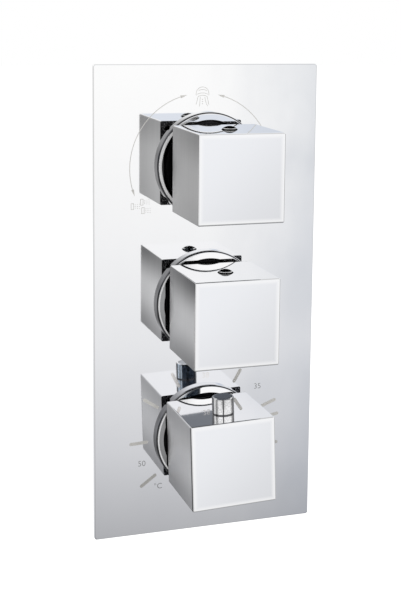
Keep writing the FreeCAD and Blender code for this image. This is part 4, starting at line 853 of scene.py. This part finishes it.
# ---- the studio ----
# rows of a place, from straight down at 0 to straight up at 1, and a tone
OPEN_STUDIO = (
    (0.0, 0.5), (0.2, 0.45), (0.26, 0.3), (0.29, 0.38), (0.305, 0.56), (0.332, 0.77), (0.368, 0.91),
    (0.405, 0.96), (0.45, 0.985), (0.474, 1.0), (0.5, 0.95), (0.53, (0.72, 0.76, 0.83)),
    (0.555, (0.76, 0.8, 0.87)), (0.58, 1.0), (0.78, 1.0), (0.88, 0.7), (1.0, 0.5))
FLAGGED_STUDIO = (
    (0.0, 0.4), (0.26, 0.2), (0.33, 0.34), (0.38, 0.56), (0.41, 0.64), (0.455, 0.62), (0.5, 0.55),
    (0.58, 0.8), (0.7, 0.9), (1.0, 0.5))
WHITE = (1.0, 1.0, 1.0)


def floor_material(tone):
    """Pale floor: its shadows stay, and unshadowed it is white to the camera."""
    cloud_size, lift_to_white = 0.4, 0.45
    shade, here = new_material("pale floor")
    cloud = shade.noise(here, cloud_size, 2.0)
    matt = shade.node("ShaderNodeBsdfDiffuse", {
        "Color": shade.blend(cloud * 0.3, tone, dimmed(tone, 0.97))})
    seen = shade.node("ShaderNodeLightPath", out="Is Camera Ray")
    lift = shade.node("ShaderNodeEmission", {"Color": WHITE, "Strength": seen * lift_to_white})
    both = shade.node("ShaderNodeAddShader", {0: matt, 1: lift})
    shade.node("ShaderNodeOutputMaterial", {"Surface": both})
    return shade.owner


def set_world(scene, fill):
    """White to the camera; to metal, a studio that is light behind the camera, greyer where a flag
    stands to its left, nearly black at both sides and white to the rear; to all else, an even fill."""
    flag_left, flag_right = (-0.52, -0.4), (-0.12, 0.1)    # soft edges, as a direction's x
    black_sides, white_rear = (0.88, 0.96), (0.1, 0.3)     # where they begin and are full, as its x and y
    scene.world = bpy.data.worlds.new("studio light")
    shade = Shading(scene.world)
    across, depth, up = shade.parts(shade.node("ShaderNodeTexCoord", out="Generated"))
    height = (up + 1) * 0.5
    bright = shade.node("ShaderNodeValToRGB", {0: height}, stops=OPEN_STUDIO)
    flagged = shade.node("ShaderNodeValToRGB", {0: height}, stops=FLAGGED_STUDIO)
    flag = across.ramp(*flag_left) * (1 - across.ramp(*flag_right))
    studio = shade.blend(flag, bright, flagged)
    studio = shade.blend(abs(across).ramp(*black_sides) * 0.92, studio, (0.02, 0.02, 0.022))
    studio = shade.blend(depth.ramp(*white_rear) * 0.7, studio, WHITE)
    rays = shade.node("ShaderNodeLightPath").socket.node.outputs
    colour = shade.blend(Wire(shade, rays["Is Glossy Ray"]), (fill, fill, fill), studio)
    colour = shade.blend(Wire(shade, rays["Is Camera Ray"]), colour, WHITE)
    light = shade.node("ShaderNodeBackground", {"Color": colour, "Strength": 1.0})
    shade.node("ShaderNodeOutputWorld", {"Surface": light})


def set_camera(scene):
    """The photograph's viewpoint, found from the plate's and the handles' corners."""
    place = (-0.22985, -0.736, 0.18076)
    yaw, pitch, roll = 0.352, 0.15, 0.0165
    width, height, focal, aim_x, aim_y = 401, 601, 1318.1, 270.0, 195.0    # pixels
    lens = bpy.data.cameras.new("camera")
    lens.sensor_fit, lens.sensor_width = "AUTO", 36.0
    lens.lens = focal * lens.sensor_width / height
    lens.shift_x, lens.shift_y = (width / 2 - aim_x) / height, (aim_y - height / 2) / height
    lens.clip_start, lens.clip_end = 0.01, 60.0
    holder = add_object("camera", lens)
    holder.matrix_world = (Matrix.Translation(place) @ Matrix.Rotation(-yaw, 4, "Z")
                           @ Matrix.Rotation(math.pi / 2 - pitch, 4, "X") @ Matrix.Rotation(roll, 4, "Z"))
    scene.camera = holder


# ---- operators ----
class VALVE_OT_studio(bpy.types.Operator):
    """Sets the camera, the floor, the lamps and the light all round"""
    bl_idname = "valve.studio"
    bl_label = "Studio"

    def execute(self, context):
        look = context.scene.valve_studio
        set_camera(context.scene)
        reach = look.floor_reach
        floor = add_object("floor", bpy.data.meshes.new("floor"))
        floor.data.from_pydata(
            [(x * reach, y * reach, -look.floor_drop) for x, y in ((-1, -1), (1, -1), (1, 1), (-1, 1))],
            [], [(0, 1, 2, 3)])
        floor.data.materials.append(floor_material(look.floor_colour))
        floor.visible_glossy = False
        set_world(context.scene, look.fill)
        for name, place, power, width in (
                ("key lamp", (-0.9, -1.3, 1.5), look.key_power, 1.0),
                ("back lamp", (0.7, 1.4, 1.1), look.rim_power, 1.2)):
            lamp = bpy.data.lights.new(name, "AREA")
            lamp.energy, lamp.shape, lamp.size = power, "SQUARE", width
            holder = add_object(name, lamp)
            holder.location = place
            holder.visible_glossy = False
            holder.rotation_euler = (-Vector(place)).to_track_quat("-Z", "Y").to_euler()
        context.scene.view_settings.view_transform = "Standard"
        return {"FINISHED"}


class VALVE_OT_plate_chrome(bpy.types.Operator):
    """Polishes the cover plate and the collars"""
    bl_idname = "valve.plate_chrome"
    bl_label = "Plate and collars"

    def execute(self, context):
        look = context.scene.valve_chrome
        dress(["face_plate"], plate_chrome(look))
        for station in STATIONS:
            dress([station + "_collar"], collar_chrome(look, station))
        return {"FINISHED"}


class VALVE_OT_handle_chrome(bpy.types.Operator):
    """Polishes the three handles, with painted shades and highlights, painted shade in their hollows, and raw rims
    """
    bl_idname = "valve.handle_chrome"
    bl_label = "Handles"

    def execute(self, context):
        for station in STATIONS:
            dress([station + "_handle"], handle_chrome(context.scene.valve_chrome, station))
        return {"FINISHED"}


class VALVE_OT_trim_chrome(bpy.types.Operator):
    """Polishes the caps and the safety button"""
    bl_idname = "valve.trim_chrome"
    bl_label = "Caps and button"

    def execute(self, context):
        look = context.scene.valve_chrome
        for station in CAP_SHADES:
            dress([station + "_cap"], cap_chrome(look, station))
        dress(["safety_button"], button_chrome(look))
        return {"FINISHED"}


class VALVE_OT_casting(bpy.types.Operator):
    """Gives the valve body its blasted brass"""
    bl_idname = "valve.casting"
    bl_label = "Cast body"

    def execute(self, context):
        look = context.scene.valve_brass
        dress(["valve_body"], cast_brass("cast brass", look.cast_tone, look.grain))
        return {"FINISHED"}


class VALVE_OT_turned_brass(bpy.types.Operator):
    """Gives the brass pieces but the body their turned brass, nickelled on nuts and spindles"""
    bl_idname = "valve.turned_brass"
    bl_label = "Turned brass"

    def execute(self, context):
        look = context.scene.valve_brass
        upright = {"hot_union", "cold_union", "pipe_nuts", "pipe_olives"}
        plated = {station + part for station in STATIONS for part in ("_nut", "_spindle")}
        level = [node for node in in_slot("brass") if node not in upright | plated]
        dress(sorted(plated), turned_metal("nickelled brass", look.nickel_tone, 1))
        dress(sorted(upright), turned_metal("turned brass upright", look.turned_tone, 2))
        dress(level, turned_metal("turned brass", look.turned_tone, 1))
        return {"FINISHED"}


class VALVE_OT_steel(bpy.types.Operator):
    """Gives screws, strainers and the unmoved spring their steel, and the wax capsule its copper"""
    bl_idname = "valve.steel"
    bl_label = "Steel and copper"

    def execute(self, context):
        kept = [node for node in in_slot("steel") if node not in (*SPRUNG, RETURN_SPRING)]
        dress(kept, bright_steel("stainless steel"))
        dress(in_slot("copper"), turned_metal("drawn copper", (0.78, 0.4, 0.25), 1, 0.28))
        return {"FINISHED"}


class VALVE_OT_springs(bpy.types.Operator):
    """Makes copies of the springs, which ride on the pieces that press them, the return spring's on none"""
    bl_idname = "valve.springs"
    bl_label = "Springs"

    def execute(self, context):
        wire = bright_steel("spring wire")
        for node, (body, joint, way) in SPRUNG.items():
            low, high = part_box(node)
            axis, length = Vector(way), (high - low).z
            travel = next(row["range_m"][1] for row in frame["joints"] if row["name"] == joint)
            piece = spring_piece(node, body, wire)
            (length - travel) / length
            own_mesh(piece)
        low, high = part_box(RETURN_SPRING)
        piece = spring_piece(RETURN_SPRING, None, wire)
        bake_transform(piece)
        return {"FINISHED"}


class VALVE_OT_polymers(bpy.types.Operator):
    """Gives the cartridges, seals and washers their moulded finishes"""
    bl_idname = "valve.polymers"
    bl_label = "Polymer, rubber and ceramic"

    def execute(self, context):
        for slot, finish in MOULDED.items():
            dress(in_slot(slot), moulded(*finish))
        return {"FINISHED"}


class VALVE_OT_arrows(bpy.types.Operator):
    """Etches the diverter's two curved arrows"""
    bl_idname = "valve.arrows"
    bl_label = "Diverter arrows"

    def execute(self, context):
        size = context.scene.valve_marks
        radius, half_width, steps = size.arrow_radius, size.head_width / 2, 60
        line_share, barb_share = 0.92, 0.12    # of a head: where its line ends, how far its barbs sweep
        neck = size.head_length * line_share / radius
        start, stop = size.arrow_start + neck, size.arrow_end - neck
        for side, word in ((-1, "left"), (1, "right")):
            etching = Etching(ARROW_CENTRE)
            etching.line([clock(side * (start + (stop - start) * step / steps), radius)
                          for step in range(steps + 1)], size.stroke)
            for tip, base in ((size.arrow_start, start), (size.arrow_end, stop)):
                back = base - (tip - base) * barb_share
                etching.fill([clock(side * tip, radius), clock(side * back, radius + half_width),
                              clock(side * base, radius), clock(side * back, radius - half_width)])
            etching.finish("arrow_" + word)
        return {"FINISHED"}


class VALVE_OT_rose_mark(bpy.types.Operator):
    """Etches the overhead rose over the diverter"""
    bl_idname = "valve.rose_mark"
    bl_label = "Rose mark"

    def execute(self, context):
        size = context.scene.valve_marks
        etching = Etching((ARROW_CENTRE[0], ARROW_CENTRE[1] + ROSE_LIFT))
        half_width, height, rib_height = 3.9 * MM, 4.0 * MM, 1.5 * MM
        dome, rib = (-14, 194), (25, 155)    # where their lines start and stop, in degrees
        etching.line(arc(half_width, height, 0, *dome), size.fine_stroke)
        for lift, share in ROSE_RIBS:
            etching.line(arc(half_width * share, rib_height, lift * MM, *rib), size.fine_stroke)
        for ends in ROSE_STREAMS:
            etching.line([(right * MM, up * MM) for right, up in ends], size.fine_stroke)
        for (right, up), (right_step, up_step), radius in ROSE_DROPS:
            for row in range(3):
                etching.dot(((right + right_step * row) * MM, (up + up_step * row) * MM), radius * MM)
        etching.finish("rose_mark")
        return {"FINISHED"}


class VALVE_OT_jet_marks(bpy.types.Operator):
    """Etches the body jets at both ends of the arrows, their drops by geometry nodes"""
    bl_idname = "valve.jet_marks"
    bl_label = "Body jet marks"

    def execute(self, context):
        size = context.scene.valve_marks
        grow = drop_tree(etch_material())
        axis = STATIONS["divert"]
        for side, word in ((1, "left"), (-1, "right")):
            etching, drops = Etching((0, axis)), []
            for across, up in JETS:
                x, z, w, h = side * across * MM, up * MM, JET_HALF_WIDTH, JET_HALF_HEIGHT
                etching.line([(x - w, z - h), (x + w, z - h), (x + w, z + h), (x - w, z + h)],
                             size.fine_stroke, closed=True)
                for row in (-1, 0, 1):
                    for step in range(3):
                        ahead, spread = [(first + more * step) * MM
                                         for first, more in (JET_THROW, JET_SPREAD)]
                        drops.append((x + side * ahead, PLATE_FRONT - size.relief / 2,
                                      axis + z + row * spread))
            etching.finish("jet_mark_" + word)
            name = "jet_drops_" + word
            finish_mark(grow.grown(name, drops, Radius=size.drop_radius, Relief=size.relief), name)
        return {"FINISHED"}


class VALVE_OT_dial_bars(bpy.types.Operator):
    """Etches the temperature dial's bars"""
    bl_idname = "valve.dial_bars"
    bl_label = "Dial bars"

    def execute(self, context):
        size = context.scene.valve_marks
        etching = Etching((0, STATIONS["thermo"]))
        half, steps = size.bar_width / 2, 8
        for degrees, low, high in DIAL_BARS:
            turn = math.radians(degrees)
            along, over = Vector(clock(turn, 1)), Vector(clock(turn + math.pi / 2, 1))
            outline = []
            for end, base in ((high * MM - half, 0), (low * MM + half, math.pi)):
                for step in range(steps + 1):
                    lean = base - math.pi / 2 + math.pi * step / steps
                    outline.append(along * (end + half * math.cos(lean)) + over * half * math.sin(lean))
            etching.fill(outline)
        etching.finish("dial_bars")
        return {"FINISHED"}


class VALVE_OT_dial_figures(bpy.types.Operator):
    """Etches the temperature dial's figures"""
    bl_idname = "valve.dial_figures"
    bl_label = "Dial figures"

    def execute(self, context):
        size = context.scene.valve_marks
        form = bmesh.new()
        for words, degrees, radius in DIAL_FIGURES:
            right, up = clock(math.radians(degrees), radius * MM)
            centre = (right, up + STATIONS["thermo"])
            form.from_mesh(text_mesh(words, size.digit_height, centre, size.relief))
        ink = etched("etched figures", size.figure_colour)
        finish_mark(mesh_of(form, "dial_figures"), "dial_figures", ink)
        return {"FINISHED"}


class VALVE_OT_port_threads(bpy.types.Operator):
    """Puts threads in the outlet ports, swept along a spiral by geometry nodes"""
    bl_idname = "valve.port_threads"
    bl_label = "Port threads"

    def execute(self, context):
        size = context.scene.valve_threads
        sunk, brass_grain = 0.28, 0.5 * MM    # the share of a thread's depth that stands inside the bore
        brass = cast_brass("cut brass", context.scene.valve_brass.turned_tone, brass_grain)
        grow = thread_tree(brass)
        for mount in frame["record"]["mounts"]:
            if mount["kind"] != "threaded_hole":
                continue
            length = mount["dims"]["length_mm"] * MM - size.runout
            name = mount["name"] + "_thread"
            mesh = grow.grown(name, Radius=mount["dims"]["r_mm"] * MM - size.depth * sunk, Length=length,
                              Turns=length / size.pitch, Depth=size.depth, Pitch=size.pitch,
                              Steps=size.segments)
            axis = Vector(mount["axis"])
            mesh.transform(Matrix.Translation(Vector(mount["pos_m"]) - axis * length / 2)
                           @ Vector((0, 0, 1)).rotation_difference(axis).to_matrix().to_4x4())
            mesh.shade_smooth()
            finish_piece(mesh, name, "casting", brass)
        return {"FINISHED"}


# ---- registration ----
PIECES = (
    VALVE_OT_studio, VALVE_OT_plate_chrome, VALVE_OT_handle_chrome, VALVE_OT_trim_chrome,
    VALVE_OT_casting, VALVE_OT_turned_brass, VALVE_OT_steel, VALVE_OT_springs, VALVE_OT_polymers,
    VALVE_OT_arrows, VALVE_OT_rose_mark, VALVE_OT_jet_marks, VALVE_OT_dial_bars,
    VALVE_OT_dial_figures, VALVE_OT_port_threads,
)
GROUPS = {
    "valve_marks": MarkSizes, "valve_chrome": ChromeFinish, "valve_brass": BrassFinish,
    "valve_threads": ThreadSizes, "valve_studio": StudioSet,
}


class VALVE_PT_panel(bpy.types.Panel):
    """Sizes, colours and operators of the shower valve"""
    bl_idname = "VALVE_PT_panel"
    bl_label = "Shower Valve"
    bl_space_type = "VIEW_3D"
    bl_region_type = "UI"
    bl_category = "Shower Valve"

    def draw(self, context):
        for name, group in GROUPS.items():
            box = self.layout.box()
            for field in group.__annotations__:
                box.prop(getattr(context.scene, name), field)
        for piece in PIECES:
            self.layout.operator(piece.bl_idname)


def register():
    for kind in (*GROUPS.values(), *PIECES, VALVE_PT_panel):
        bpy.utils.register_class(kind)
    for name, group in GROUPS.items():
        setattr(bpy.types.Scene, name, PointerProperty(type=group))


def unregister():
    for name in GROUPS:
        delattr(bpy.types.Scene, name)
    for kind in reversed((*GROUPS.values(), *PIECES, VALVE_PT_panel)):
        bpy.utils.unregister_class(kind)


def main():
    register()
    for piece in PIECES:
        group, name = piece.bl_idname.split(".")
        getattr(getattr(bpy.ops, group), name)()


if __name__ == "__main__":
    main()
